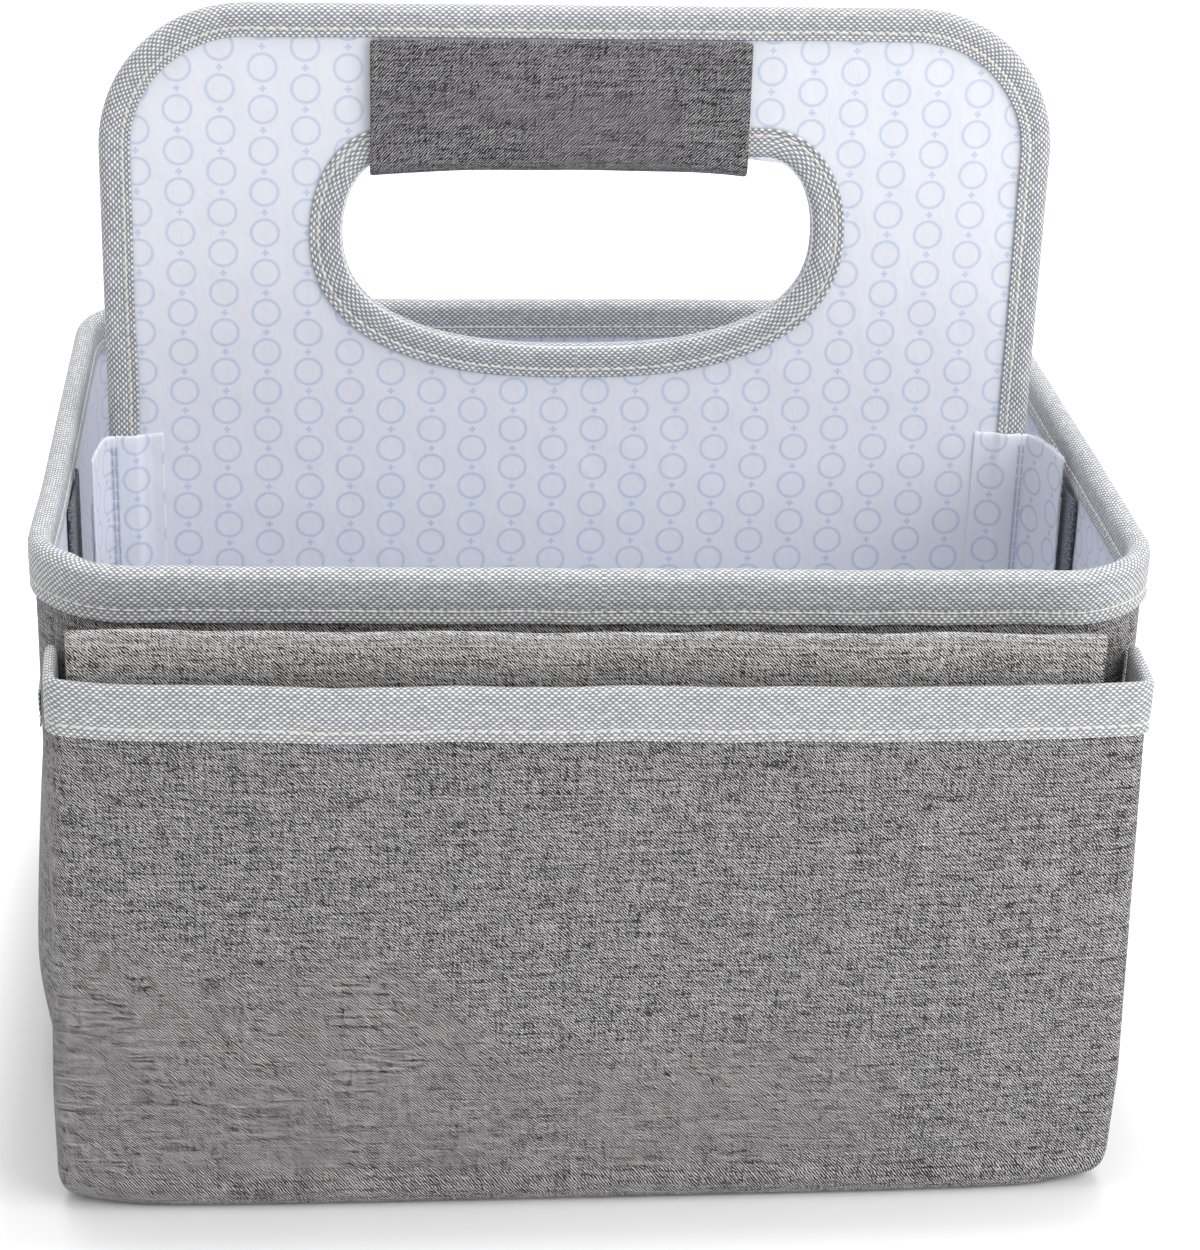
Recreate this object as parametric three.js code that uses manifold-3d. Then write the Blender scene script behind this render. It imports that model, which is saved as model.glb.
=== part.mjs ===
// Diaper caddy: a stiffened cloth tub with a front pocket, two side pockets and a folded changing mat,
// and a lift-out divider that carries the handle. Millimetres, +Z up, front towards -Y.
// The origin is the centre of the tub's underside.

import * as THREE from 'three';
import Module from 'manifold-3d';
import { mergeVertices } from 'three/addons/utils/BufferGeometryUtils.js';

const wasm = await Module();
wasm.setup();

// Tub, measured over the rim binding
const rimWidth = 305;
const rimDepth = 236;
const tubHeight = 188;
const rimCornerRadius = 30;
const seamAngle = 35;
const arcSteps = 4;

// Thickness of each layer, and the gap left between neighbours
const gap = 0.3;
const clothThickness = 1.0;
const wallBoardThickness = 2.0;
const liningThickness = 0.6;
const bindingThickness = 0.8;
const baseBoardThickness = 2.5;

// Rim binding
const rimBandHeight = 15;
const rimInnerBandHeight = 12;

// Front pocket
const pocketDrop = 23.5;
const pocketForward = 21.3;
const pocketBandHeight = 15.5;
const pocketSideInset = 6.5;
const pocketFoldSwell = 5;
const pocketFoldForward = 17.8;
const pocketFoldRadius = 4.5;
const pocketClothThickness = 1.2;
const pocketFootForward = 8.5;
const pocketBandSeat = 3.5;

// Side pockets
const sidePocketDrop = 53;
const sidePocketBottom = 12;
const sidePocketEndInset = 44;
const sidePocketMouth = 4.6;
const sidePocketBelly = 7.5;
const sidePocketCornerRadius = 12;
const sidePocketBandHeight = 12;

// Divider with the handle
const dividerSideClearance = 16;
const dividerRise = 124;
const dividerCornerRadius = 42;
const dividerBoardThickness = 2.0;
const sheetThickness = 0.5;
const dividerBandWidth = 9;

// Hand hole, measured inside its binding, and the grip bar above it
const holeWidth = 135.5;
const gripBarHeight = 43.7;
const holeHeight = 56.3;
const holeShoulderWidth = 14;
const holeShoulderHeight = 22;
const holeLowerPower = 2.5;
const holeBandWidth = 9.5;

// Grip sleeve
const sleeveEndInset = 13.75;
const sleeveThickness = 1.4;

// Tabs that fasten the divider to the side walls
const tabDrop = 3;
const tabFootClearance = 4;
const tabFaceWidth = 16;
const tabThickness = 1.0;
const tabForward = 23.5;
const tabBend = 12;
const hookStripThickness = 0.8;
const hookStripMargin = 0.9;
const loopStripThickness = 1.8;
const loopStripWidth = 30;
const loopStripMargin = 6.5;
const stripEndClearance = 2;
const stripFoot = 14;

// Folded changing mat in the front pocket
const matSideClearance = 10;
const matDrop = 10;
const matLayerThickness = 1.5;
const matLayerGap = 0.25;
const matHemStep = 4.5;
const matTopForward = 16.5;
const matCornerRadius = 28;
const matWave = 0.7;
const matWallClearance = 0.5;

// What stands on, in or beside the tub takes its size and place from the tub
const pocketTop = tubHeight - pocketDrop;
const pocketWidth = rimWidth - 2 * pocketSideInset;
const sidePocketTop = tubHeight - sidePocketDrop;
const sidePocketWidth = rimDepth - 2 * sidePocketEndInset;
const dividerWidth = rimWidth - 2 * dividerSideClearance;
const dividerTop = tubHeight + dividerRise;
const holeTop = dividerTop - gripBarHeight;
const holeBottom = holeTop - holeHeight;
const sleeveWidth = holeWidth - 2 * sleeveEndInset;
const tabTop = tubHeight - tabDrop;
const matWidth = pocketWidth - 2 * matSideClearance;
const matTop = tubHeight - matDrop;

// Planes and outlines worked out from the sizes above
const clothInset = bindingThickness + gap;
const halfX = rimWidth / 2 - clothInset;
const halfY = rimDepth / 2 - clothInset;
const cornerRadius = rimCornerRadius - clothInset;
const coreX = halfX - cornerRadius;
const coreY = halfY - cornerRadius;
const boardInset = clothThickness + gap;
const liningInset = boardInset + wallBoardThickness + gap;
const wallThickness = liningInset + liningThickness;
const wallFoot = clothThickness + gap;
const wallTop = tubHeight - clothInset;
const floorTop = wallFoot + baseBoardThickness + gap + liningThickness;
const sheetInset = dividerBoardThickness / 2 + gap;
const sheetFace = sheetInset + sheetThickness;
const bandFace = sheetFace + gap + bindingThickness;
const dividerFoot = floorTop + gap;
const edgeInset = bindingThickness + gap;
const radians = Math.PI / 180;

// Materials
const heather = material(0x858284, 0.95);
const darkHeather = material(0x6e6b6c, 0.95);
const tape = material(0xb5b8bd, 0.8);
const printed = material(0xdde0eb, 0.45);
const board = material(0x9c8568, 0.9);
const loopCloth = material(0x4b4a50, 1.0);
const hookCloth = material(0xe4e6ee, 0.7);

function material(color, roughness) {
  return new THREE.MeshStandardMaterial({ color, roughness, metalness: 0, flatShading: true });
}

// Closed solid from rings of points: each ring is one edge line of the section, running along the path.
// A closed path makes a ring-shaped solid. An open one gets an end cap, cut into triangles in capPlane.
function solidFromRings(rings, closedPath, capPlane) {
  const count = rings[0].length;
  const spans = closedPath ? count : count - 1;
  const index = [];
  for (let ring = 0; ring < rings.length; ring++) {
    const next = (ring + 1) % rings.length;
    for (let step = 0; step < spans; step++) {
      const after = (step + 1) % count;
      const corners = [ring * count + step, ring * count + after, next * count + after, next * count + step];
      index.push(corners[0], corners[1], corners[2], corners[0], corners[2], corners[3]);
    }
  }
  if (!closedPath) {
    const capArea = THREE.ShapeUtils.area(capPlane);
    for (const triangle of THREE.ShapeUtils.triangulateShape(capPlane, [])) {
      const sameTurn = THREE.ShapeUtils.area(triangle.map((ring) => capPlane[ring])) * capArea > 0;
      const [a, b, c] = sameTurn ? triangle : triangle.slice().reverse();
      index.push(a * count, b * count, c * count);
      index.push(c * count + count - 1, b * count + count - 1, a * count + count - 1);
    }
  }
  const points = rings.flat();
  if (signedVolume(points, index) < 0) {
    index.reverse();
  }
  const geometry = new THREE.BufferGeometry().setFromPoints(points);
  geometry.setIndex(index);
  geometry.computeVertexNormals();
  return geometry;
}

function signedVolume(points, index) {
  let volume = 0;
  for (let i = 0; i < index.length; i += 3) {
    const [a, b, c] = [points[index[i]], points[index[i + 1]], points[index[i + 2]]];
    volume += a.dot(b.clone().cross(c));
  }
  return volume / 6;
}

// Sweeps a section of [offset, height] points along a path of { point, normal } steps. The offset runs
// along the normal, and place turns the flat point and the height into a point of the model.
function sweep(path, section, place, closedPath) {
  const rings = section.map(([offset, height]) =>
    path.map(({ point, normal }) => place(point.clone().addScaledVector(normal, offset), height)));
  const capPlane = section.map(([offset, height]) => new THREE.Vector2(offset, height));
  return solidFromRings(rings, closedPath, capPlane);
}

const onFloorPlan = (point, height) => new THREE.Vector3(point.x, point.y, height);
const onDivider = (point, depth) => new THREE.Vector3(point.x, depth, point.y);

function rectangleSection(nearOffset, farOffset, low, high) {
  return [[nearOffset, low], [farOffset, low], [farOffset, high], [nearOffset, high]];
}

// U-shaped tape folded over an edge: the near and far faces lie at +-reach of the middle plane, and the
// fold is at offset 0 with its corners taken off
function foldedTapeSection(reach, nearBand, farBand) {
  const soft = bindingThickness * 0.6;
  const inner = reach - bindingThickness;
  return [
    [-nearBand, -reach], [-soft, -reach], [0, -reach + soft], [0, reach - soft], [-soft, reach],
    [-farBand, reach], [-farBand, inner], [-bindingThickness, inner], [-bindingThickness, -inner],
    [-nearBand, -inner],
  ];
}

// Part of one corner's arc of the tub's plan, as steps with outward normals. Every layer has its steps at
// the same angles, so that the layers' flats lie alongside. The trims shorten only the end steps.
function cornerArc(fromDegrees, toDegrees, trimFrom, trimTo) {
  const middle = (fromDegrees + toDegrees) / 2 * radians;
  const centre = new THREE.Vector2(Math.sign(Math.cos(middle)) * coreX, Math.sign(Math.sin(middle)) * coreY);
  const steps = [];
  for (let i = 0; i <= arcSteps; i++) {
    const degrees = THREE.MathUtils.lerp(fromDegrees, toDegrees, i / arcSteps);
    const angle = THREE.MathUtils.clamp(degrees, fromDegrees + trimFrom, toDegrees - trimTo) * radians;
    const normal = new THREE.Vector2(Math.cos(angle), Math.sin(angle));
    steps.push({ point: centre.clone().addScaledVector(normal, cornerRadius), normal });
  }
  return steps;
}

// The plan of one wall, from seam to seam. A seam lies seamAngle round the corner from the side wall.
function wallPlan(facing, seamGap) {
  const wrap = facing % 180 === 0 ? seamAngle : 90 - seamAngle;
  const trim = seamGap / 2 / cornerRadius / radians;
  return [...cornerArc(facing - wrap, facing, trim, 0), ...cornerArc(facing, facing + wrap, 0, trim)];
}

function wholePlan() {
  return [-90, 0, 90, 180].flatMap((facing) => wallPlan(facing, 0).slice(0, -1));
}

// Flat plate with the tub's plan, its edge inset from the cloth's outer face
function planPlate(inset, bottom, thickness) {
  const outline = wholePlan().map(({ point, normal }) => point.clone().addScaledVector(normal, -inset));
  const geometry = new THREE.ExtrudeGeometry(new THREE.Shape(outline), { depth: thickness, bevelEnabled: false });
  return geometry.translate(0, 0, bottom);
}

function wallPanel(facing, outerInset, thickness, bottom, top) {
  const section = rectangleSection(-outerInset - thickness, -outerInset, bottom, top);
  return sweep(wallPlan(facing, gap), section, onFloorPlan, false);
}

// Tape folded over the rim, with its outer face flush with the rim's stated width and depth
function rimBinding() {
  const outer = clothInset;
  const inner = -wallThickness - gap - bindingThickness;
  const soft = bindingThickness * 1.2;
  const section = [
    [outer, tubHeight - rimBandHeight], [outer, tubHeight - soft], [outer - soft, tubHeight],
    [inner + soft, tubHeight], [inner, tubHeight - soft], [inner, tubHeight - rimInnerBandHeight],
    [inner + bindingThickness, tubHeight - rimInnerBandHeight], [inner + bindingThickness, wallTop + gap],
    [outer - bindingThickness, wallTop + gap], [outer - bindingThickness, tubHeight - rimBandHeight],
  ];
  return sweep(wholePlan(), section, onFloorPlan, true);
}

// Nearest point of the rectangle of corner centres inside the tub's plan
function nearestCore(point) {
  return new THREE.Vector2(
    THREE.MathUtils.clamp(point.x, -coreX, coreX),
    THREE.MathUtils.clamp(point.y, -coreY, coreY),
  );
}

// Nearest point on the tub's plan, moved out by a clearance
function onTubPlan(point, clearance) {
  const core = nearestCore(point);
  const direction = point.clone().sub(core).normalize();
  return core.addScaledVector(direction, cornerRadius + clearance);
}

// Keeps a point of the plan from coming nearer to the tub than the gap
function clearOfTub(point) {
  const inside = point.distanceTo(nearestCore(point)) < cornerRadius + gap;
  return inside ? onTubPlan(point, gap) : point;
}

// How far the front pocket's outer face stands out at each share of its height above the foot: at the
// middle, and at the folded ends, forward and sideways. The cloth tucks in under its load at the foot, and
// its folded ends swell sideways below the band.
const pocketProfile = [
  { height: 0.07, middle: 0.66, foldForward: 0.55, swell: 1 },
  { height: 0.24, middle: 0.8, foldForward: 0.75, swell: 0.95 },
  { height: 0.48, middle: 0.9, foldForward: 0.85, swell: 0.6 },
  { height: 0.72, middle: 0.97, foldForward: 0.93, swell: 0.25 },
  { height: 0.89, middle: 1, foldForward: 1, swell: 0 },
  { height: 1, middle: 1, foldForward: 1, swell: 0 },
];
const pocketFoot = gap;
const pocketFrontSteps = 18;
const foldSteps = 4;

// Outward normals of an open path that has its outside on the right
function withNormals(points) {
  return points.map((point, i) => {
    const before = points[Math.max(i - 1, 0)];
    const after = points[Math.min(i + 1, points.length - 1)];
    const tangent = after.clone().sub(before).normalize();
    return { point, normal: new THREE.Vector2(tangent.y, -tangent.x) };
  });
}

// Plan of the front pocket's outer face at one level: seam, gusset, fold, bowed front and back again
function pocketPlan(level) {
  const seamDirection = (180 + seamAngle) * radians;
  const seamReach = cornerRadius + gap;
  const seam = new THREE.Vector2(
    -coreX + seamReach * Math.cos(seamDirection),
    -coreY + seamReach * Math.sin(seamDirection),
  );
  const sewnForward = gap + pocketClothThickness;
  const foldForward = THREE.MathUtils.lerp(sewnForward, pocketFoldForward, level.foldForward);
  const foldSide = pocketWidth / 2 - clothInset + level.swell * pocketFoldSwell;
  const fold = new THREE.Vector2(-foldSide, -halfY - foldForward);
  const middleY = -halfY - level.middle * pocketForward;
  const onFront = (x) => new THREE.Vector2(x, middleY + (fold.y - middleY) * Math.abs(x / fold.x) ** 5);
  const foldStart = fold.clone().lerp(seam, pocketFoldRadius / fold.distanceTo(seam));
  const foldEnd = onFront(fold.x + pocketFoldRadius);
  const left = [seam, seam.clone().lerp(foldStart, 0.5)];
  left.push(...new THREE.QuadraticBezierCurve(foldStart, fold, foldEnd).getPoints(foldSteps));
  const front = [];
  for (let i = 1; i < pocketFrontSteps; i++) {
    front.push(onFront(foldEnd.x * Math.cos(Math.PI * i / pocketFrontSteps)));
  }
  const right = left.map((point) => new THREE.Vector2(-point.x, point.y)).reverse();
  return withNormals([...left, ...front, ...right]);
}

// The foot follows the tub's own plan, and swells forward towards the middle
function pocketFootPlan(plan, clearance) {
  return plan.map(({ point }) => {
    const swell = pocketFootForward * (1 - Math.abs(point.x / plan[0].point.x) ** 6);
    return onTubPlan(point, clearance + Math.max(swell, gap));
  });
}

function frontPocket() {
  const levelHeight = (level) => THREE.MathUtils.lerp(pocketFoot, pocketTop - clothInset, level.height);
  const plans = pocketProfile.map(pocketPlan);
  const outer = plans.map((plan, i) =>
    plan.map(({ point }) => onFloorPlan(point, levelHeight(pocketProfile[i]))));
  const inner = plans.map((plan, i) => plan.map(({ point, normal }) => {
    const inset = point.clone().addScaledVector(normal, -pocketClothThickness);
    return onFloorPlan(clearOfTub(inset), levelHeight(pocketProfile[i]));
  }));
  const level = (points, height) => points.map((point) => onFloorPlan(point, height));
  const seat = plans[0].map(({ point }) => onTubPlan(point, gap));
  const footTop = pocketFoot + pocketClothThickness;
  const rings = [
    ...outer.slice().reverse(),
    level(pocketFootPlan(plans[0], gap + pocketClothThickness), pocketFoot),
    level(seat, pocketFoot),
    level(seat, footTop),
    level(pocketFootPlan(plans[0], gap), footTop),
    ...inner,
  ];
  const count = outer.length;
  const capPlane = rings.map((ring, i) => {
    const column = i <= count ? 0 : (i <= count + 2 ? 2 : 1);
    return new THREE.Vector2(column, ring[0].z);
  });
  return solidFromRings(rings, false, capPlane);
}

function frontPocketBinding() {
  const path = pocketPlan(pocketProfile[pocketProfile.length - 1]);
  const seated = (end, next) => {
    const reach = pocketBandSeat / end.point.distanceTo(next.point);
    return { point: end.point.clone().lerp(next.point, reach), normal: next.normal };
  };
  const start = seated(path[0], path[1]);
  const end = seated(path.at(-1), path.at(-2));
  const outside = clothInset;
  const inside = -pocketClothThickness - clothInset;
  const low = pocketTop - pocketBandHeight;
  const soft = bindingThickness * 0.6;
  const section = [
    [outside, low], [outside, pocketTop - soft], [outside - soft, pocketTop], [inside + soft, pocketTop],
    [inside, pocketTop - soft], [inside, low], [inside + bindingThickness, low],
    [inside + bindingThickness, pocketTop - bindingThickness],
    [outside - bindingThickness, pocketTop - bindingThickness], [outside - bindingThickness, low],
  ];
  return sweep([start, ...path.slice(1, -1), end], section, onFloorPlan, false);
}

// Outer face of a side pocket, as steps along the wall: sewn down at both ends and the foot, fullest in
// its lower half and standing a little open at the mouth
function sidePocketPlan(height) {
  const bandFoot = sidePocketTop - sidePocketBandHeight - clothInset;
  const rise = THREE.MathUtils.clamp((height - sidePocketBottom) / (bandFoot - sidePocketBottom), 0, 1);
  const fullness = Math.sin(Math.min(rise / 0.3, 1) * Math.PI / 2);
  const swell = fullness * THREE.MathUtils.lerp(sidePocketBelly, sidePocketMouth, rise);
  const cornerRise = THREE.MathUtils.clamp(sidePocketBottom + sidePocketCornerRadius - height, 0, sidePocketCornerRadius);
  const cornerInset = sidePocketCornerRadius - Math.sqrt(sidePocketCornerRadius ** 2 - cornerRise ** 2);
  const halfWidth = sidePocketWidth / 2 - cornerInset;
  const steps = 14;
  const points = [];
  for (let i = 0; i <= steps; i++) {
    const share = 2 * i / steps - 1;
    const bulge = swell * (1 - share ** 2) ** (1 + rise);
    points.push(new THREE.Vector2(halfX + gap + clothThickness + bulge, share * halfWidth));
  }
  return withNormals(points);
}

function sidePocket() {
  const top = sidePocketTop - clothInset;
  const bandFoot = top - sidePocketBandHeight;
  const heights = [0, 0.04, 0.1, 0.25, 0.45].map((share) => sidePocketBottom + share * (bandFoot - sidePocketBottom));
  heights.push(bandFoot, top);
  const outer = heights.map((height) => sidePocketPlan(height).map(({ point }) => onFloorPlan(point, height)));
  const inner = outer.map((ring) => ring.map((point) => point.clone().setX(point.x - clothThickness)));
  const rings = [...outer, ...inner.reverse()];
  const capPlane = rings.map((ring, i) => new THREE.Vector2(i < outer.length ? 1 : 0, ring[0].z));
  return solidFromRings(rings, false, capPlane);
}

function sidePocketBinding() {
  const steps = sidePocketPlan(sidePocketTop - clothInset);
  const path = steps.map(({ point }) => ({ point, normal: new THREE.Vector2(1, 0) }));
  const outside = clothInset;
  const low = sidePocketTop - sidePocketBandHeight;
  const section = [
    [outside, low], [outside, sidePocketTop], [-clothThickness, sidePocketTop],
    [-clothThickness, sidePocketTop - bindingThickness],
    [outside - bindingThickness, sidePocketTop - bindingThickness], [outside - bindingThickness, low],
  ];
  return sweep(path, section, onFloorPlan, false);
}

// The divider's outer edge, over its binding, from the left foot round to the right foot
function dividerEdge() {
  const halfWidth = dividerWidth / 2;
  const steps = [{ point: new THREE.Vector2(-halfWidth, dividerFoot), normal: new THREE.Vector2(-1, 0) }];
  const topSteps = 8;
  for (const side of [-1, 1]) {
    const centre = new THREE.Vector2(side * (halfWidth - dividerCornerRadius), dividerTop - dividerCornerRadius);
    for (let i = 0; i <= topSteps; i++) {
      const share = side < 0 ? i / topSteps : 1 - i / topSteps;
      const angle = share * Math.PI / 2;
      const normal = new THREE.Vector2(side * Math.cos(angle), Math.sin(angle));
      steps.push({ point: centre.clone().addScaledVector(normal, dividerCornerRadius), normal });
    }
  }
  steps.push({ point: new THREE.Vector2(halfWidth, dividerFoot), normal: new THREE.Vector2(1, 0) });
  return steps;
}

// The hand hole inside its binding: a straight top with round corners and a bowed lower edge. The
// normals point into the hole.
function holeEdge() {
  const halfWidth = holeWidth / 2;
  const widest = holeTop - holeShoulderHeight;
  const points = [];
  const endSteps = 6;
  for (const side of [1, -1]) {
    for (let i = 0; i <= endSteps; i++) {
      const share = side > 0 ? i / endSteps : 1 - i / endSteps;
      const angle = share * Math.PI / 2;
      points.push(new THREE.Vector2(
        side * (halfWidth - holeShoulderWidth + holeShoulderWidth * Math.cos(angle)),
        widest + holeShoulderHeight * Math.sin(angle),
      ));
    }
  }
  const bowSteps = 20;
  for (let i = 1; i < bowSteps; i++) {
    const angle = Math.PI * (1 + i / bowSteps);
    const across = Math.sign(Math.cos(angle)) * Math.abs(Math.cos(angle)) ** (2 / holeLowerPower);
    const down = Math.abs(Math.sin(angle)) ** (2 / holeLowerPower);
    points.push(new THREE.Vector2(halfWidth * across, widest - (widest - holeBottom) * down));
  }
  return points.map((point, i) => {
    const before = points[(i + points.length - 1) % points.length];
    const after = points[(i + 1) % points.length];
    const tangent = after.clone().sub(before).normalize();
    return { point, normal: new THREE.Vector2(-tangent.y, tangent.x) };
  });
}

const offsetPoints = (steps, offset) => steps.map(({ point, normal }) => point.clone().addScaledVector(normal, offset));

// Flat plate with the divider's outline and hand hole, standing between two depths
function dividerPlate(frontDepth, backDepth) {
  const shape = new THREE.Shape(offsetPoints(dividerEdge(), -edgeInset));
  shape.holes.push(new THREE.Path(offsetPoints(holeEdge(), -edgeInset)));
  const geometry = new THREE.ExtrudeGeometry(shape, { depth: backDepth - frontDepth, bevelEnabled: false });
  return geometry.rotateX(Math.PI / 2).translate(0, backDepth, 0);
}

function dividerEdgeBinding() {
  const section = foldedTapeSection(bandFace, dividerBandWidth, dividerBandWidth);
  return sweep(dividerEdge(), section, onDivider, false);
}

function handHoleBinding() {
  return sweep(holeEdge(), foldedTapeSection(bandFace, holeBandWidth, holeBandWidth), onDivider, true);
}

// How far the hole's upper edge has dropped at a distance from the middle
function shoulderDrop(across) {
  const past = Math.max(across - holeWidth / 2 + holeShoulderWidth, 0) / holeShoulderWidth;
  return holeShoulderHeight * (1 - Math.sqrt(1 - past ** 2));
}

// Cloth folded up round the grip bar, from the back over its lower edge to the front, below the top binding
function gripSleeve() {
  const inner = bandFace + gap;
  const outer = inner + sleeveThickness;
  const top = dividerTop - dividerBandWidth - gap;
  const innerFoot = holeTop - shoulderDrop(sleeveWidth / 2) - gap;
  const foot = innerFoot - sleeveThickness;
  const soft = sleeveThickness;
  const section = [
    [-outer, top], [-outer, foot + soft], [-outer + soft, foot], [outer - soft, foot], [outer, foot + soft],
    [outer, top], [inner, top], [inner, innerFoot], [-inner, innerFoot], [-inner, top],
  ];
  const rings = section.map(([depth, height]) => [-1, 1].map((side) =>
    new THREE.Vector3(side * sleeveWidth / 2, depth, height)));
  return solidFromRings(rings, false, section.map(([depth, height]) => new THREE.Vector2(depth, height)));
}

// Planes that the tabs and strips share. A tab's face leg is sewn to the divider's front, and its free
// leg folds at the divider's edge and lies along the side wall.
const liningFace = halfX - wallThickness;
const loopFace = liningFace - gap - loopStripThickness;
const hookFace = loopFace - gap - hookStripThickness;
const legInside = hookFace - gap - tabThickness;
const tabFoot = dividerFoot + tabFootClearance;
const rootDepth = bandFace + gap;
const hinge = new THREE.Vector2(dividerWidth / 2, -rootDepth - tabThickness - gap);
const stripTop = tubHeight - rimInnerBandHeight - gap - stripEndClearance;

const onSide = (side) => (point, height) => new THREE.Vector3(side * point.x, point.y, height);

function tabRoot(side) {
  const bandEdge = dividerWidth / 2 - dividerBandWidth;
  const low = -sheetFace - gap;
  const points = [
    new THREE.Vector2(dividerWidth / 2 - tabFaceWidth, low),
    new THREE.Vector2(bandEdge - gap - tabThickness, low),
    new THREE.Vector2(bandEdge - gap, -rootDepth),
    new THREE.Vector2(dividerWidth / 2 - gap / 2, -rootDepth),
  ];
  const path = points.map((point) => ({ point, normal: new THREE.Vector2(0, -1) }));
  return sweep(path, rectangleSection(0, tabThickness, tabFoot, tabTop), onSide(side), false);
}

function tabLeg(side) {
  const bend = new THREE.Vector2(legInside, -tabBend);
  const start = hinge.clone().lerp(bend, gap / hinge.distanceTo(bend));
  const path = withNormals([start, bend, new THREE.Vector2(legInside, -tabForward)]);
  return sweep(path, rectangleSection(-tabThickness, 0, tabFoot, tabTop), onSide(side), false);
}

function hookStrip(side) {
  const length = tabForward - tabBend - 2 * hookStripMargin;
  const height = stripTop - stripFoot - 2 * stripEndClearance;
  const geometry = new THREE.BoxGeometry(hookStripThickness, length, height);
  return geometry.translate(
    side * (hookFace + hookStripThickness / 2),
    -(tabForward + tabBend) / 2,
    (stripTop + stripFoot) / 2,
  );
}

function loopStrip(side) {
  const geometry = new THREE.BoxGeometry(loopStripThickness, loopStripWidth, stripTop - stripFoot);
  return geometry.translate(
    side * (loopFace + loopStripThickness / 2),
    -tabForward - loopStripMargin + loopStripWidth / 2,
    (stripTop + stripFoot) / 2,
  );
}

// The folded mat stands on the pocket's foot with its back by the tub, and leans forward on the pocket
const matDepth = 3 * matLayerThickness + 2 * matLayerGap;
const matFoot = pocketFoot + pocketClothThickness + gap;
const matLean = Math.atan2(matTopForward - matDepth - matWallClearance, matTop - matFoot);

// Section of a sheet folded in three: the front layer's hemmed edge stands highest
function matSection(length) {
  const layer = matLayerThickness;
  const pitch = layer + matLayerGap;
  const foldTop = length - matHemStep;
  const soft = layer * 0.3;
  return [
    [0, length - soft, true], [0, 0], [2 * layer + matLayerGap, 0], [2 * layer + matLayerGap, foldTop - layer],
    [2 * pitch, foldTop - layer], [2 * pitch, layer], [matDepth, layer], [matDepth, foldTop - soft],
    [matDepth - soft, foldTop], [pitch + soft, foldTop], [pitch, foldTop - soft], [pitch, layer],
    [layer, layer], [layer, length - soft, true], [layer - soft, length, true], [soft, length, true],
  ];
}

function changingMat() {
  const length = (matTop - matFoot) / Math.cos(matLean);
  const up = new THREE.Vector3(0, -Math.sin(matLean), Math.cos(matLean));
  const back = new THREE.Vector3(0, Math.cos(matLean), Math.sin(matLean));
  const topEdge = new THREE.Vector3(0, -halfY - matTopForward, matTop);
  const steps = 24;
  const section = matSection(length);
  const rings = section.map(([depth, rise, isHem]) => {
    const ring = [];
    for (let i = 0; i <= steps; i++) {
      const share = i / steps;
      const wave = isHem ? -matWave * (1 + Math.sin(share * 17) * Math.sin(share * 6 + 1)) / 2 : 0;
      const point = topEdge.clone().addScaledVector(up, rise - length + wave).addScaledVector(back, depth);
      ring.push(point.setX((share - 0.5) * matWidth));
    }
    return ring;
  });
  const folded = solidFromRings(rings, false, section.map(([depth, rise]) => new THREE.Vector2(depth, rise)));
  return common(folded, matOutline());
}

// Block with the mat's outline, rounded at the two lower corners
function matOutline() {
  const half = matWidth / 2;
  const radius = matCornerRadius;
  const high = matTop + matDepth;
  const shape = new THREE.Shape();
  shape.moveTo(-half, high);
  shape.lineTo(-half, matFoot + radius);
  shape.absarc(-half + radius, matFoot + radius, radius, Math.PI, Math.PI * 1.5, false);
  shape.lineTo(half - radius, matFoot);
  shape.absarc(half - radius, matFoot + radius, radius, -Math.PI / 2, 0, false);
  shape.lineTo(half, high);
  const reach = pocketForward + rimDepth;
  const geometry = new THREE.ExtrudeGeometry(shape, { depth: reach, bevelEnabled: false, curveSegments: 5 });
  return geometry.rotateX(Math.PI / 2);
}

function toManifold(geometry) {
  const bare = geometry.clone();
  bare.deleteAttribute('normal');
  bare.deleteAttribute('uv');
  const merged = mergeVertices(bare, 1e-4);
  const mesh = new wasm.Mesh({
    numProp: 3,
    vertProperties: new Float32Array(merged.attributes.position.array),
    triVerts: new Uint32Array(merged.index.array),
  });
  return new wasm.Manifold(mesh);
}

function common(first, second) {
  const mesh = toManifold(first).intersect(toManifold(second)).getMesh();
  const geometry = new THREE.BufferGeometry();
  geometry.setAttribute('position', new THREE.BufferAttribute(mesh.vertProperties, 3));
  geometry.setIndex(new THREE.BufferAttribute(mesh.triVerts, 1));
  geometry.computeVertexNormals();
  return geometry;
}

// The assembly
const caddy = new THREE.Group();
const tub = new THREE.Group();
const divider = new THREE.Group();
caddy.add(tub, divider);

function add(group, name, geometry, surface, position = [0, 0, 0]) {
  const mesh = new THREE.Mesh(geometry, surface);
  mesh.name = name;
  mesh.position.set(...position);
  group.add(mesh);
}

add(tub, 'base_cloth', planPlate(0, 0, clothThickness), heather);
add(tub, 'base_board', planPlate(boardInset, wallFoot, baseBoardThickness), board);
add(tub, 'floor_lining', planPlate(liningInset, floorTop - liningThickness, liningThickness), printed);

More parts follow.
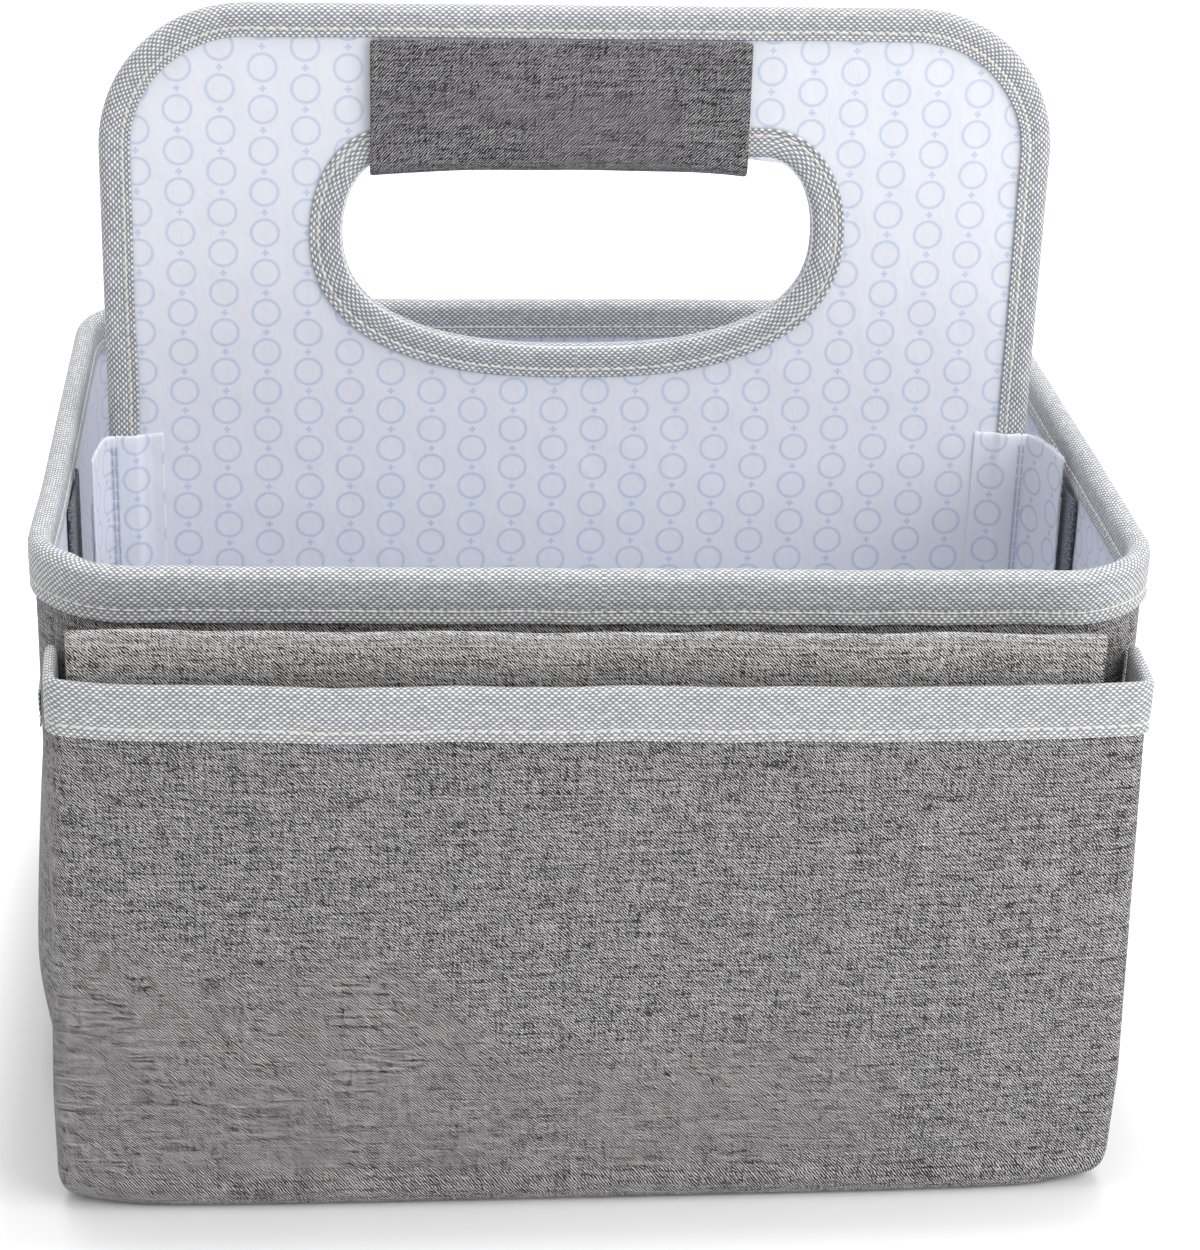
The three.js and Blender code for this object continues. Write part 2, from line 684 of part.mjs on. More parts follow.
const walls = { front: -90, right: 0, back: 90, left: 180 };
const boardMiddle = boardInset + wallBoardThickness / 2;
for (const [wall, facing] of Object.entries(walls)) {
  add(tub, `${wall}_cloth`, wallPanel(facing, 0, clothThickness, wallFoot, wallTop), heather);
  add(tub, `${wall}_lining`, wallPanel(facing, liningInset, liningThickness, floorTop + gap, wallTop), printed);
}
const boardFoot = floorTop + gap;
const boardHeight = wallTop - boardFoot;
for (const [name, side] of [['front', -1], ['back', 1]]) {
  const geometry = new THREE.BoxGeometry(2 * coreX, wallBoardThickness, boardHeight);
  add(tub, `${name}_board`, geometry, board, [0, side * (halfY - boardMiddle), boardFoot + boardHeight / 2]);
}
for (const [name, side] of [['left', -1], ['right', 1]]) {
  const geometry = new THREE.BoxGeometry(wallBoardThickness, 2 * coreY, boardHeight);
  add(tub, `${name}_board`, geometry, board, [side * (halfX - boardMiddle), 0, boardFoot + boardHeight / 2]);
}
add(tub, 'rim_binding', rimBinding(), tape);
add(tub, 'front_pocket', frontPocket(), heather);
add(tub, 'front_pocket_binding', frontPocketBinding(), tape);

const halfTurn = Math.PI;
for (const [name, side] of [['left', -1], ['right', 1]]) {
  const turn = side < 0 ? halfTurn : 0;
  add(tub, `${name}_side_pocket`, sidePocket().rotateZ(turn), heather);
  add(tub, `${name}_side_pocket_binding`, sidePocketBinding().rotateZ(turn), tape);
  add(tub, `${name}_loop_strip`, loopStrip(side), loopCloth);
  add(divider, `${name}_tab_root`, tabRoot(side), printed);
  add(divider, `${name}_tab`, tabLeg(side), printed);
  add(divider, `${name}_hook_strip`, hookStrip(side), hookCloth);
}

add(divider, 'divider_board', dividerPlate(-dividerBoardThickness / 2, dividerBoardThickness / 2), board);
add(divider, 'divider_front_sheet', dividerPlate(-sheetFace, -sheetInset), printed);
add(divider, 'divider_back_sheet', dividerPlate(sheetInset, sheetFace), printed);
add(divider, 'divider_edge_binding', dividerEdgeBinding(), tape);
add(divider, 'hand_hole_binding', handHoleBinding(), tape);
add(divider, 'grip_sleeve', gripSleeve(), darkHeather);

add(caddy, 'changing_mat', changingMat(), heather);

export default caddy;
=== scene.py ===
# Looks of the stiffened cloth caddy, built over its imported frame. Metres, +Z up, front towards -Y.

import bisect
import functools
import math

import bmesh
import bpy
from mathutils import Matrix, Vector, noise


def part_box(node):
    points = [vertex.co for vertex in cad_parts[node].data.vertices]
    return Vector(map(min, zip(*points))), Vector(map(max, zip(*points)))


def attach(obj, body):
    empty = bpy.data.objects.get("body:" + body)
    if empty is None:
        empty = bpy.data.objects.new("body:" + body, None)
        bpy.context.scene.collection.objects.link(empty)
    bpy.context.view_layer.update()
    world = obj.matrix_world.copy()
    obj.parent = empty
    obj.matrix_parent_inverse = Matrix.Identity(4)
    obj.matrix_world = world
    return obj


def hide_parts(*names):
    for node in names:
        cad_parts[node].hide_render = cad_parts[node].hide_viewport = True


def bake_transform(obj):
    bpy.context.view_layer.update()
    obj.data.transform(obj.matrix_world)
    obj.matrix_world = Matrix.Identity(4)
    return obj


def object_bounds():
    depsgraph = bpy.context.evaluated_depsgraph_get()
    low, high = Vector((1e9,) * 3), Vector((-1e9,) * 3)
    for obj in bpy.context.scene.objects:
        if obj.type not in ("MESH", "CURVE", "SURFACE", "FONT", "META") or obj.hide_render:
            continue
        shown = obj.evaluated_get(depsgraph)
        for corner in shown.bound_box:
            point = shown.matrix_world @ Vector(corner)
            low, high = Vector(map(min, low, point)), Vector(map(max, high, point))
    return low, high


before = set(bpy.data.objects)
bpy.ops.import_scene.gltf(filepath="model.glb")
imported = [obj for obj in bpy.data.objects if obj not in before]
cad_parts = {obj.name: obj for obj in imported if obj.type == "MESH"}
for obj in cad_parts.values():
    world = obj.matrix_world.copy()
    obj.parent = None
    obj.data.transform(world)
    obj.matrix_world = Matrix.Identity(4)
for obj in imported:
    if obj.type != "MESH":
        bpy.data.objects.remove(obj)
cad_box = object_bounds()


# Studio
# A sheet of white paper under the caddy in an even white room, with a wide soft lamp overhead and a smaller
# one towards the front right. The camera looks down and a little to the right, and leans slightly.

def linear(hex_colour):
    """Linear colour from an sRGB hex value such as 0x858284."""
    channels = [(hex_colour >> shift & 255) / 255 for shift in (16, 8, 0)]
    return [c / 12.92 if c < 0.04045 else ((c + 0.055) / 1.055) ** 2.4 for c in channels] + [1]


def add_node(tree, kind, inputs=None, **settings):
    """Adds a node with its settings. A value of inputs is a plain value or another node's output."""
    made = tree.nodes.new(kind)
    for name, value in settings.items():
        setattr(made, name, value)
    for socket, value in (inputs or {}).items():
        value = getattr(value, "socket", value)
        if isinstance(value, bpy.types.NodeSocket):
            tree.links.new(value, made.inputs[socket])
        else:
            made.inputs[socket].default_value = value
    return made


def new_material(name):
    """A new material, its node tree and its output node."""
    material = bpy.data.materials.new(name)
    material.use_nodes = True
    tree = material.node_tree
    tree.nodes.clear()
    return material, tree, add_node(tree, "ShaderNodeOutputMaterial")


scene = bpy.context.scene
scene.view_settings.view_transform = "Standard"

camera_place = (-0.0711, -0.8679, 0.512)
camera_looks_down = math.radians(24.14)
camera_looks_right = math.radians(5.33)
camera_leans = math.radians(1.76)
focal_pixels = 3125
picture_height = 1250
camera = bpy.data.objects.new("camera", bpy.data.cameras.new("camera"))
camera.location = camera_place
camera_turn = Matrix.Rotation(-camera_looks_right, 3, "Z")
camera_turn = camera_turn @ Matrix.Rotation(math.pi / 2 - camera_looks_down, 3, "X")
camera_turn = camera_turn @ Matrix.Rotation(camera_leans, 3, "Z")
camera.rotation_euler = camera_turn.to_euler()
camera.data.lens = focal_pixels / picture_height * camera.data.sensor_width
scene.collection.objects.link(camera)
scene.camera = camera

room_brightness = 0.66
world = bpy.data.worlds.new("white_room")
world.use_nodes = True
scene.world = world
tree = world.node_tree
tree.nodes.clear()
rays = add_node(tree, "ShaderNodeLightPath")
sees_white = rays.outputs["Is Camera Ray"]
for kind in ("Is Glossy Ray", "Is Transmission Ray"):
    inputs = {0: sees_white, 1: rays.outputs[kind]}
    sees_white = add_node(tree, "ShaderNodeMath", inputs, operation="MAXIMUM").outputs[0]
strength = add_node(tree, "ShaderNodeMix", {"Factor": sees_white, "A": room_brightness, "B": 1.0})
background = add_node(tree, "ShaderNodeBackground", {"Color": (1, 1, 1, 1), "Strength": strength.outputs[0]})
tree.links.new(background.outputs[0], add_node(tree, "ShaderNodeOutputWorld").inputs["Surface"])

# The paper is lit from below, apart from a margin round the caddy, where its soft shadow stays
floor_glow = 0.5
glow_margin = 0.04
paper, tree, output = new_material("backlit_white_paper")
rays = add_node(tree, "ShaderNodeLightPath")
place = add_node(tree, "ShaderNodeTexCoord").outputs["Object"]
caddy_middle = (Vector(cad_box[0]) + Vector(cad_box[1])) / 2
caddy_half = (Vector(cad_box[1]) - Vector(cad_box[0])) / 2
for operation, second in (("SUBTRACT", (0, caddy_middle.y, 0)), ("ABSOLUTE", (0, 0, 0)),
                          ("SUBTRACT", (caddy_half.x, caddy_half.y, 0)), ("MAXIMUM", (0, 0, 0))):
    place = add_node(tree, "ShaderNodeVectorMath", {0: place, 1: second}, operation=operation).outputs[0]
beyond_caddy = add_node(tree, "ShaderNodeVectorMath", {0: place}, operation="LENGTH").outputs["Value"]
glow = add_node(tree, "ShaderNodeMapRange",
                {"Value": beyond_caddy, "From Max": glow_margin, "To Max": floor_glow},
                interpolation_type="SMOOTHSTEP")
glow = add_node(tree, "ShaderNodeMath", {0: rays.outputs["Is Camera Ray"], 1: glow.outputs[0]},
                operation="MULTIPLY")
matt = add_node(tree, "ShaderNodeBsdfDiffuse", {"Color": linear(0xF0F0F1)})
light = add_node(tree, "ShaderNodeEmission", {"Strength": glow.outputs[0]})
both = add_node(tree, "ShaderNodeAddShader", {0: matt.outputs[0], 1: light.outputs[0]})
tree.links.new(both.outputs[0], output.inputs["Surface"])

floor_size = 6
bm = bmesh.new()
bmesh.ops.create_grid(bm, x_segments=1, y_segments=1, size=floor_size / 2)
mesh = bpy.data.meshes.new("floor")
bm.to_mesh(mesh)
bm.free()
floor = bpy.data.objects.new("floor", mesh)
floor.data.materials.append(paper)
scene.collection.objects.link(floor)

lamps_aim_at = Vector((0, 0, 0.12))
lamps = {
    "side_lamp": {"place": (0.8, -0.68, 0.7), "size": 0.9, "watts": 8},
    "top_lamp": {"place": (0.0, 0.12, 1.4), "size": 1.0, "watts": 14},
}
for name, lamp in lamps.items():
    data = bpy.data.lights.new(name, "AREA")
    data.size = lamp["size"]
    data.energy = lamp["watts"]
    lamp_object = bpy.data.objects.new(name, data)
    lamp_object.location = lamp["place"]
    towards_caddy = lamps_aim_at - lamp_object.location
    lamp_object.rotation_euler = towards_caddy.to_track_quat("-Z", "Y").to_euler()
    scene.collection.objects.link(lamp_object)


# Stiffening boards
# Solid grey-brown pasteboard, cut to size and sewn in between cloth and lining. They keep the walls,
# floor and divider flat and stay hidden, apart from their cut edges when the caddy is opened up.

mm = 0.001


def finish_surface(tree, output, colour, roughness, height=None, depth=0.0, **shader_inputs):
    """Gives a material its shader, from a colour, a roughness and a height in shares of a real depth."""
    inputs = {"Base Color": colour, "Roughness": roughness}
    if height is not None:
        bump = add_node(tree, "ShaderNodeBump", {"Height": height, "Distance": depth, "Strength": 1.0})
        inputs["Normal"] = bump.outputs[0]
    inputs.update({name.replace("_", " "): value for name, value in shader_inputs.items()})
    shader = add_node(tree, "ShaderNodeBsdfPrincipled", inputs)
    tree.links.new(shader.outputs[0], output.inputs["Surface"])


def pasteboard():
    """Pasteboard, rolled: soft brown with pressed fibres that show as short pale and dark flecks."""
    fibre_length = 3 * mm
    material, tree, output = new_material("rolled_pasteboard")
    place = add_node(tree, "ShaderNodeTexCoord")
    fibres = add_node(tree, "ShaderNodeTexNoise",
                      {"Vector": place.outputs["Object"], "Scale": 1 / fibre_length, "Detail": 4.0,
                       "Roughness": 0.7})
    colour = add_node(tree, "ShaderNodeMix", {"Factor": fibres.outputs["Fac"], "A": linear(0x8A7256),
                                              "B": linear(0xAE987A)}, data_type="RGBA")
    finish_surface(tree, output, colour.outputs["Result"], 0.85, fibres.outputs["Fac"], 0.1 * mm)
    return material


def dress(node_name, material):
    """Gives a CAD node a new material and leaves its shape."""
    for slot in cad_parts[node_name].material_slots:
        slot.material = material


board_finish = pasteboard()
for node_name in ("front_board", "back_board", "left_board", "right_board", "base_board", "divider_board"):
    dress(node_name, board_finish)


# Tub cloth
# Grey heather polyester canvas in four wall panels, pulled over the boards and seamed near each corner,
# and one panel underneath. The yarn mixes dark and light threads, with thicker slubs along the weft.

class Number:
    """A number that a shader works out at each point, so that its sums can be written as sums."""

    def __init__(self, socket):
        self.socket = socket

    def work(self, operation, other=0.0, **settings):
        """The number that one operation gives, with another number where it takes two."""
        inputs = {0: self.socket, 1: other}
        tree = self.socket.id_data
        return Number(add_node(tree, "ShaderNodeMath", inputs, operation=operation, **settings).outputs[0])

    def __add__(self, other):
        return self.work("ADD", other)

    def __sub__(self, other):
        return self.work("SUBTRACT", other)

    def __mul__(self, other):
        return self.work("MULTIPLY", other)

    def __truediv__(self, other):
        return self.work("DIVIDE", other)

    def __pow__(self, other):
        return self.work("POWER", other)

    def __abs__(self):
        return self.work("ABSOLUTE")

    def short_of(self, whole):
        """What is left of a whole, not below nothing."""
        return ((self * -1.0) + whole).clamped()

    def clamped(self):
        """The number kept from 0 to 1."""
        return self.work("ADD", 0.0, use_clamp=True)

    def off_middle(self):
        """Distance from one half."""
        return self - 0.5

    def between(self, low, high, first=0.0, last=1.0):
        """Goes from first to last as the number goes from low to high, and no further."""
        inputs = {"Value": self, "From Min": low, "From Max": high, "To Min": first, "To Max": last}
        return Number(add_node(self.socket.id_data, "ShaderNodeMapRange", inputs).outputs[0])


def flat_place(tree):
    """A cloth's own flat place in metres: its socket, and the numbers across and along."""
    place = add_node(tree, "ShaderNodeUVMap", uv_map="flat").outputs[0]
    split = add_node(tree, "ShaderNodeSeparateXYZ", {0: place})
    return place, Number(split.outputs["X"]), Number(split.outputs["Y"])


def streaks(place, across, along, detail=1.0):
    """Noise stretched into threads of a real length across and along the cloth."""
    tree = place.id_data
    scaled = add_node(tree, "ShaderNodeVectorMath", {0: place, 1: (1 / across, 1 / along, 1.0)},
                      operation="MULTIPLY")
    return Number(add_node(tree, "ShaderNodeTexNoise",
                           {"Vector": scaled.outputs[0], "Scale": 1.0, "Detail": detail},
                           noise_dimensions="2D").outputs["Fac"])


def random_cells(column, row):
    """A random number for each whole column and row."""
    tree = column.socket.id_data
    cell = add_node(tree, "ShaderNodeCombineXYZ", {"X": column.work("FLOOR"), "Y": row.work("FLOOR")})
    return Number(add_node(tree, "ShaderNodeTexWhiteNoise", {"Vector": cell.outputs[0]},
                           noise_dimensions="2D").outputs["Value"])


def mixed(share, first, second):
    """Colour between two hex values."""
    return add_node(share.socket.id_data, "ShaderNodeMix",
                    {"Factor": share, "A": linear(first), "B": linear(second)},
                    data_type="RGBA").outputs["Result"]


def heather_canvas(name, dark, light, lightness, hem_light_band=None):
    """Woven heather canvas: a fine twill whose threads mix dark and light fibre. The eye sees sharp
    salt-and-pepper grain in short diagonal floats, with lighter and darker slubs both ways, on a dry matt
    surface. Between the two places given as the last argument, along the cloth, the tone turns lighter
    towards a hem: painted light on the hem's upturned top."""
    float_width = 0.33 * mm
    float_length = 0.7 * mm
    twill_pitch = 0.9 * mm
    long_slub, short_slub = 26 * mm, 6 * mm
    long_slub_width, short_slub_width = 0.9 * mm, 0.6 * mm
    uneven = 1.2 * mm
    # How much lighter the painted light makes the hem's top
    hem_light_gain = 0.5
    material, tree, output = new_material(name)
    place, across, along = flat_place(tree)
    diagonal = across + along
    column = (diagonal * (math.sqrt(0.5) / float_width)).work("FLOOR")
    row = (across - along) * (math.sqrt(0.5) / float_length) + column * 0.37
    grain = random_cells(column, row)
    twill = diagonal * (2 * math.pi / twill_pitch) + streaks(place, uneven, uneven) * 6.0
    # Each part of the pattern with its weight in the tone
    parts = (
        grain.off_middle() * 1.3,
        twill.work("SINE") * 1.35,
        streaks(place, short_slub, short_slub_width).off_middle() * 2.1,
        streaks(place, short_slub_width, short_slub).off_middle() * 1.4,
        streaks(place, long_slub, long_slub_width, 2.0).off_middle() * 1.7,
        streaks(place, long_slub_width, long_slub, 2.0).off_middle() * 1.0,
    )
    tone = lightness
    # Painted light: the tone rises towards the hem's top, which faces up into the light
    if hem_light_band:
        tone = along.between(*hem_light_band, lightness, lightness + hem_light_gain)
    for part in parts:
        tone = part + tone
    tone = tone.clamped()
    colour = mixed(tone ** 2.2, dark, light)
    finish_surface(tree, output, colour, 0.92, tone, 0.2 * mm, Sheen_Weight=0.08, Sheen_Roughness=0.6)
    return material


tub_canvas = heather_canvas("woven_heather_canvas", 0x110E0F, 0xC1BFC0, 0.33)

corner_round = 28.9 * mm
seam_turn = math.radians(35)
cloth_thickness = 0.9 * mm
front_low, front_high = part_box("front_cloth")
half_depth = -front_low.y
half_width = -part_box("left_cloth")[0].x
wall_low = front_low.z
wall_high = front_high.z
core_x = half_width - corner_round
core_y = half_depth - corner_round
quarter_round = core_x + corner_round * math.pi / 2 + core_y


def tub_plan(run, out=0.0):
    """Point on the tub's rounded outline, run metres from the middle of the front towards the right, and
    the direction away from the tub there. The point is moved out by a distance."""
    quarter, rest = divmod(run, quarter_round)
    backwards = quarter % 2 == 1
    rest = quarter_round - rest if backwards else rest
    turn = min(max((rest - core_x) / corner_round, 0), math.pi / 2)
    away = Vector((math.sin(turn), -math.cos(turn), 0))
    point = Vector((core_x, -core_y, 0)) + away * corner_round
    point.x += min(rest - core_x, 0)
    point.y += max(rest - core_x - corner_round * math.pi / 2, 0)
    flip_x = -1 if quarter % 4 in (2, 3) else 1
    flip_y = -1 if quarter % 4 in (1, 2) else 1
    point = Vector((point.x * flip_x, point.y * flip_y, 0))
    away = Vector((away.x * flip_x, away.y * flip_y, 0))
    return point + away * out, away


def ripple(across, along, size, seed):
    """Smooth unevenness from -1 to 1 that changes over a given size."""
    return noise.noise(Vector((across / size, along / size, seed)))


def lay_cloth(name, across, along, steps, place, closed=False):
    """Cuts a flat piece of cloth between two pairs of bounds in metres, and lays each of its points where
    place says. The UV map keeps the flat place, so that the weave follows the cloth."""
    bm = bmesh.new()
    bmesh.ops.create_grid(bm, x_segments=steps[0], y_segments=steps[1], size=0.5)
    flat = {}
    for vert in bm.verts:
        flat[vert] = (
            across[0] + (vert.co.x + 0.5) * (across[1] - across[0]),
            along[0] + (vert.co.y + 0.5) * (along[1] - along[0]),
        )
    layer = bm.loops.layers.uv.new("flat")
    for face in bm.faces:
        face.smooth = True
        for loop in face.loops:
            loop[layer].uv = flat[loop.vert]
    for vert, (u, v) in flat.items():
        vert.co = place(u, v)
    if closed:
        bmesh.ops.remove_doubles(bm, verts=bm.verts, dist=0.01 * mm)
    return make_piece(name, bm)


def make_piece(name, bm):
    """Makes an object of a finished mesh."""
    mesh = bpy.data.meshes.new(name)
    bm.to_mesh(mesh)
    bm.free()
    piece = bpy.data.objects.new(name, mesh)
    scene.collection.objects.link(piece)
    return piece


def thicken(piece, thickness, offset=-1):
    """Gives cloth its thickness, on the inner side or centred, and rounds its cut edges."""
    wall = piece.modifiers.new("thickness", "SOLIDIFY")
    wall.thickness = thickness
    wall.offset = offset
    soft = piece.modifiers.new("soft", "SUBSURF")
    soft.levels = 1
    soft.render_levels = 1


front_slope = 0.012
slope_starts_forward = 0.3
slope_full_forward = 0.9


def tilt_front(piece):
    """Sets the front of the soft tub slightly out of level, as cloth walls settle: its top slopes up towards
    the left. Nothing moves at the foot or at the back."""
    for vert in piece.data.vertices:
        forward = -vert.co.y / half_depth - slope_starts_forward
        forward = min(max(forward / (slope_full_forward - slope_starts_forward), 0), 1)
        forward = forward * forward * (3 - 2 * forward)
        vert.co.z += front_slope * max(core_x - vert.co.x, 0) * vert.co.z / wall_high * forward


def settle(piece, body, material, slot, *nodes):
    """Gives a finished piece its material, the body it moves with, unless it bends between two, and the CAD
    nodes it stands for."""
    if body in ("tub", "mat"):
        tilt_front(piece)
    piece.data.materials.append(material)
    if body:
        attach(piece, body)
    if nodes:
        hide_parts(*nodes)


under_tape = 3 * mm
cloth_top = wall_high - under_tape
seam_overlap = 0.3 * mm
seam_width = 3 * mm
seam_depth = 0.7 * mm
front_reach = core_x + corner_round * (math.pi / 2 - seam_turn)
side_reach = core_y + corner_round * seam_turn
panels = {
    "front": (0, front_reach),
    "right": (quarter_round, side_reach),
    "back": (2 * quarter_round, front_reach),
    "left": (3 * quarter_round, side_reach),
}


def wall_point(middle, reach, inset, seed):
    """Lays one wall panel: it dips into the seams at its ends and lies slightly uneven over its board."""
    def place(run, height):
        to_seam = min(abs(abs(run - middle) - reach) / seam_width, 1)
        over_board = ripple(run, height, 45 * mm, seed) * 0.35 * mm * to_seam
        dip = (1 - to_seam) ** 2 * seam_depth
        point, away = tub_plan(run, over_board - dip - inset)
        point.z = height
        return point
    return place


def line_walls(layer, foot, top, inset, thickness, material, slot, first_seed):
    """Lays one layer of cloth on the four walls, each panel a little past its seams."""
    for number, (wall, (middle, reach)) in enumerate(panels.items()):
        reach += seam_overlap
        panel = lay_cloth(f"{wall}_wall_{layer}", (middle - reach, middle + reach), (foot, top), (80, 36),
                          wall_point(middle, reach, inset, first_seed + number))
        thicken(panel, thickness)
        settle(panel, "tub", material, slot, f"{wall}_{layer}")
        2 * reach


line_walls("cloth", wall_low, cloth_top, 0.4 * mm, cloth_thickness, tub_canvas, "heather_cloth", 0)


def floor_panel(name, inset, low, thickness, edge):
    """Flat panel with the tub's outline and a rounded edge."""
    count = 160
    outline = [tub_plan(4 * quarter_round * i / count, -inset)[0] + Vector((0, 0, low)) for i in range(count)]
    bm = bmesh.new()
    bm.faces.new([bm.verts.new(point) for point in outline])
    rise = bmesh.ops.extrude_face_region(bm, geom=bm.faces[:])
    risen = [item for item in rise["geom"] if isinstance(item, bmesh.types.BMVert)]
    bmesh.ops.translate(bm, verts=risen, vec=(0, 0, thickness))
    bmesh.ops.recalc_face_normals(bm, faces=bm.faces)
    sharp = math.radians(70)
    rims = [e for e in bm.edges if e.calc_face_angle(0) > sharp]
    bmesh.ops.bevel(bm, geom=rims, offset=edge, segments=3, affect="EDGES", profile=0.5, material=-1)
    bm.loops.layers.uv.new("flat")
    return map_flat(make_piece(name, bm), 0, 1)


def map_flat(piece, across_axis, along_axis):
    """Maps a flat piece's cloth straight from two of its axes."""
    layer = piece.data.uv_layers["flat"].data
    for loop in piece.data.loops:
        place = piece.data.vertices[loop.vertex_index].co
        layer[loop.index].uv = (place[across_axis], place[along_axis])
    return piece


under_cloth = floor_panel("bottom_cloth", 0.6 * mm, 0, 1.0 * mm, 0.4 * mm)
settle(under_cloth, "tub", tub_canvas, "heather_cloth", "base_cloth")


# Tub lining
# Thin smooth coated sheet, pale lavender blue, printed with a small repeat of open rings and plus signs in
# a slightly deeper blue. It covers the inside of the four walls and the floor, and lies loosely on them.

def printed_sheet(name, ground, ink):
    """Coated sheet: smooth with a soft sheen and shallow creases. The print is open rings, each column half
    a repeat lower than the last, with a plus sign between rings."""
    repeat = 12 * mm
    ring_radius = 3.9 * mm
    line_width = 0.8 * mm
    plus_reach = 1.0 * mm
    plus_line = 0.7 * mm
    material, tree, output = new_material(name)
    place, across, along = flat_place(tree)
    column = across / repeat
    half_drop = column.work("FLOOR").work("PINGPONG", 1.0) * 0.5
    row = along / repeat + half_drop
    from_middle = abs(column.work("FRACT").off_middle())
    from_row = abs(row.work("FRACT").off_middle())
    reach = (from_middle ** 2.0 + from_row ** 2.0).work("SQRT")
    from_ring = abs(reach - ring_radius / repeat)
    soft_edge = 0.25 * mm / repeat
    half_line = line_width / 2 / repeat
    on_ring = from_ring.between(half_line + soft_edge, half_line - soft_edge)
    up = from_row.short_of(0.5)
    in_reach = from_middle.work("MAXIMUM", up).work("LESS_THAN", plus_reach / repeat)
    in_line = from_middle.work("MINIMUM", up).work("LESS_THAN", plus_line / 2 / repeat)
    inked = on_ring.work("MAXIMUM", in_reach * in_line)
    creases = streaks(place, 9 * mm, 14 * mm, 3.0)
    finish_surface(tree, output, mixed(inked, ground, ink), 0.42, creases, 0.5 * mm, Sheen_Weight=0.05)
    return material


lining_sheet = printed_sheet("coated_printed_sheet", 0xDFE1E9, 0xC2CBE0)

lining_inset = 3.6 * mm
floor_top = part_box("floor_lining")[1].z
lining_foot = floor_top + 0.4 * mm
line_walls("lining", lining_foot, cloth_top, lining_inset + 0.1 * mm, 0.45 * mm, lining_sheet,
           "printed_lining", 10)

floor_lining = floor_panel("floor_sheet", lining_inset + 0.4 * mm, floor_top - 0.6 * mm, 0.6 * mm, 0.2 * mm)
settle(floor_lining, "tub", lining_sheet, "printed_lining", "floor_lining")


# Rim binding
# Light grey polyester tape, 32 mm wide in a coarse basket weave, folded over the rim and sewn through with
# one row of off-white thread just above its lower edge. The thread pulls the tape in along its row.

def basket_tape(name, gap_colour, spot_highlight_colour):
    """Coarse woven tape: staggered round yarn crossings with a bright spot of light on each, grey between
    them, and the slight gloss of filament yarn."""
    crossing_length = 1.77 * mm
    row_height = 0.78 * mm
    material, tree, output = new_material(name)
    place, across, along = flat_place(tree)
    row = along / row_height
    column = across / crossing_length + row.work("FLOOR") * 0.5
    side = column.work("FRACT").off_middle() * 2.0 * 1.25
    up = row.work("FRACT").off_middle() * 2.0
    hump = (side * side + up * up * 0.75).short_of(1.0)
    yarn = streaks(place, 0.5 * mm, 0.2 * mm, 2.0).off_middle() * 0.7
    yarn = yarn + random_cells(column, row).off_middle() * 0.5
    spot = (hump ** 1.4 + yarn * 0.5).clamped()
    # Painted highlight: each crossing's bright spot mixes towards the near-white highlight colour
    colour = mixed(spot, gap_colour, spot_highlight_colour)
    finish_surface(tree, output, colour, 0.55, hump.work("SQRT") + yarn, 0.26 * mm, Sheen_Weight=0.1)
    return material


def sewing_thread(name, colour):
    """Spun polyester sewing thread: matt, with a fine twist."""
    material, tree, output = new_material(name)
    place = add_node(tree, "ShaderNodeTexCoord").outputs["Object"]
    twist = add_node(tree, "ShaderNodeTexNoise", {"Vector": place, "Scale": 1 / (0.3 * mm)}).outputs["Fac"]
    finish_surface(tree, output, linear(colour), 0.7, twist, 0.05 * mm)
    return material


# The near-white colour is the painted highlight on each yarn crossing
tape = basket_tape("basket_woven_tape", 0x878A90, 0xFDFDFE)
pale_thread = sewing_thread("spun_sewing_thread", 0xDAD8CF)

rim_low, rim_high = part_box("rim_binding")
rim_top = rim_high.z
rim_out = -rim_low.x - half_width
tape_thickness = 0.72 * mm
lining_to_tape_face = 1.7 * mm
rim_in = lining_inset + lining_to_tape_face
rim_band = 15 * mm
rim_inner_band = 12.5 * mm
stitch_above_edge = 3.6 * mm
stitch_pitch = 3.5 * mm
perimeter = 4 * quarter_round
pleat_depth = 1.6 * mm
pleat_width = 7 * mm


def fold_over(distance, face_out, face_in, top, band):
    """Place on the section of a tape folded over an edge, from its outer lower edge at distance 0: how far
    out it lies and how high."""
    radius = (face_out + face_in) / 2
    middle = (face_out - face_in) / 2
    straight = band - radius
    if distance < straight:
        return face_out, top - band + distance
    turn = (distance - straight) / radius
    if turn < math.pi:
        return middle + radius * math.cos(turn), top - radius + radius * math.sin(turn)
    return -face_in, top - radius - (distance - straight - math.pi * radius)


def soft_peak(distance, width):
    """A smooth rise to 1 at its middle, for a distance from there."""
    return math.exp(-(distance / width) ** 2)


def pull_of_stitch(distance, rows):
    """How far the sewing thread pulls a tape in, near each row of stitches."""
    return sum(0.55 * mm * soft_peak(distance - row, 1.1 * mm) for row in rows)


def folded_length(face_out, face_in, band, inner_band):
    """Width of a tape that is folded over an edge and reaches down each face by its band."""
    radius = (face_out + face_in) / 2
    return (band - radius) + math.pi * radius + (inner_band - radius)


rim_tape_width = folded_length(rim_out, rim_in, rim_band, rim_inner_band)
rim_rows = (stitch_above_edge, rim_tape_width - stitch_above_edge)


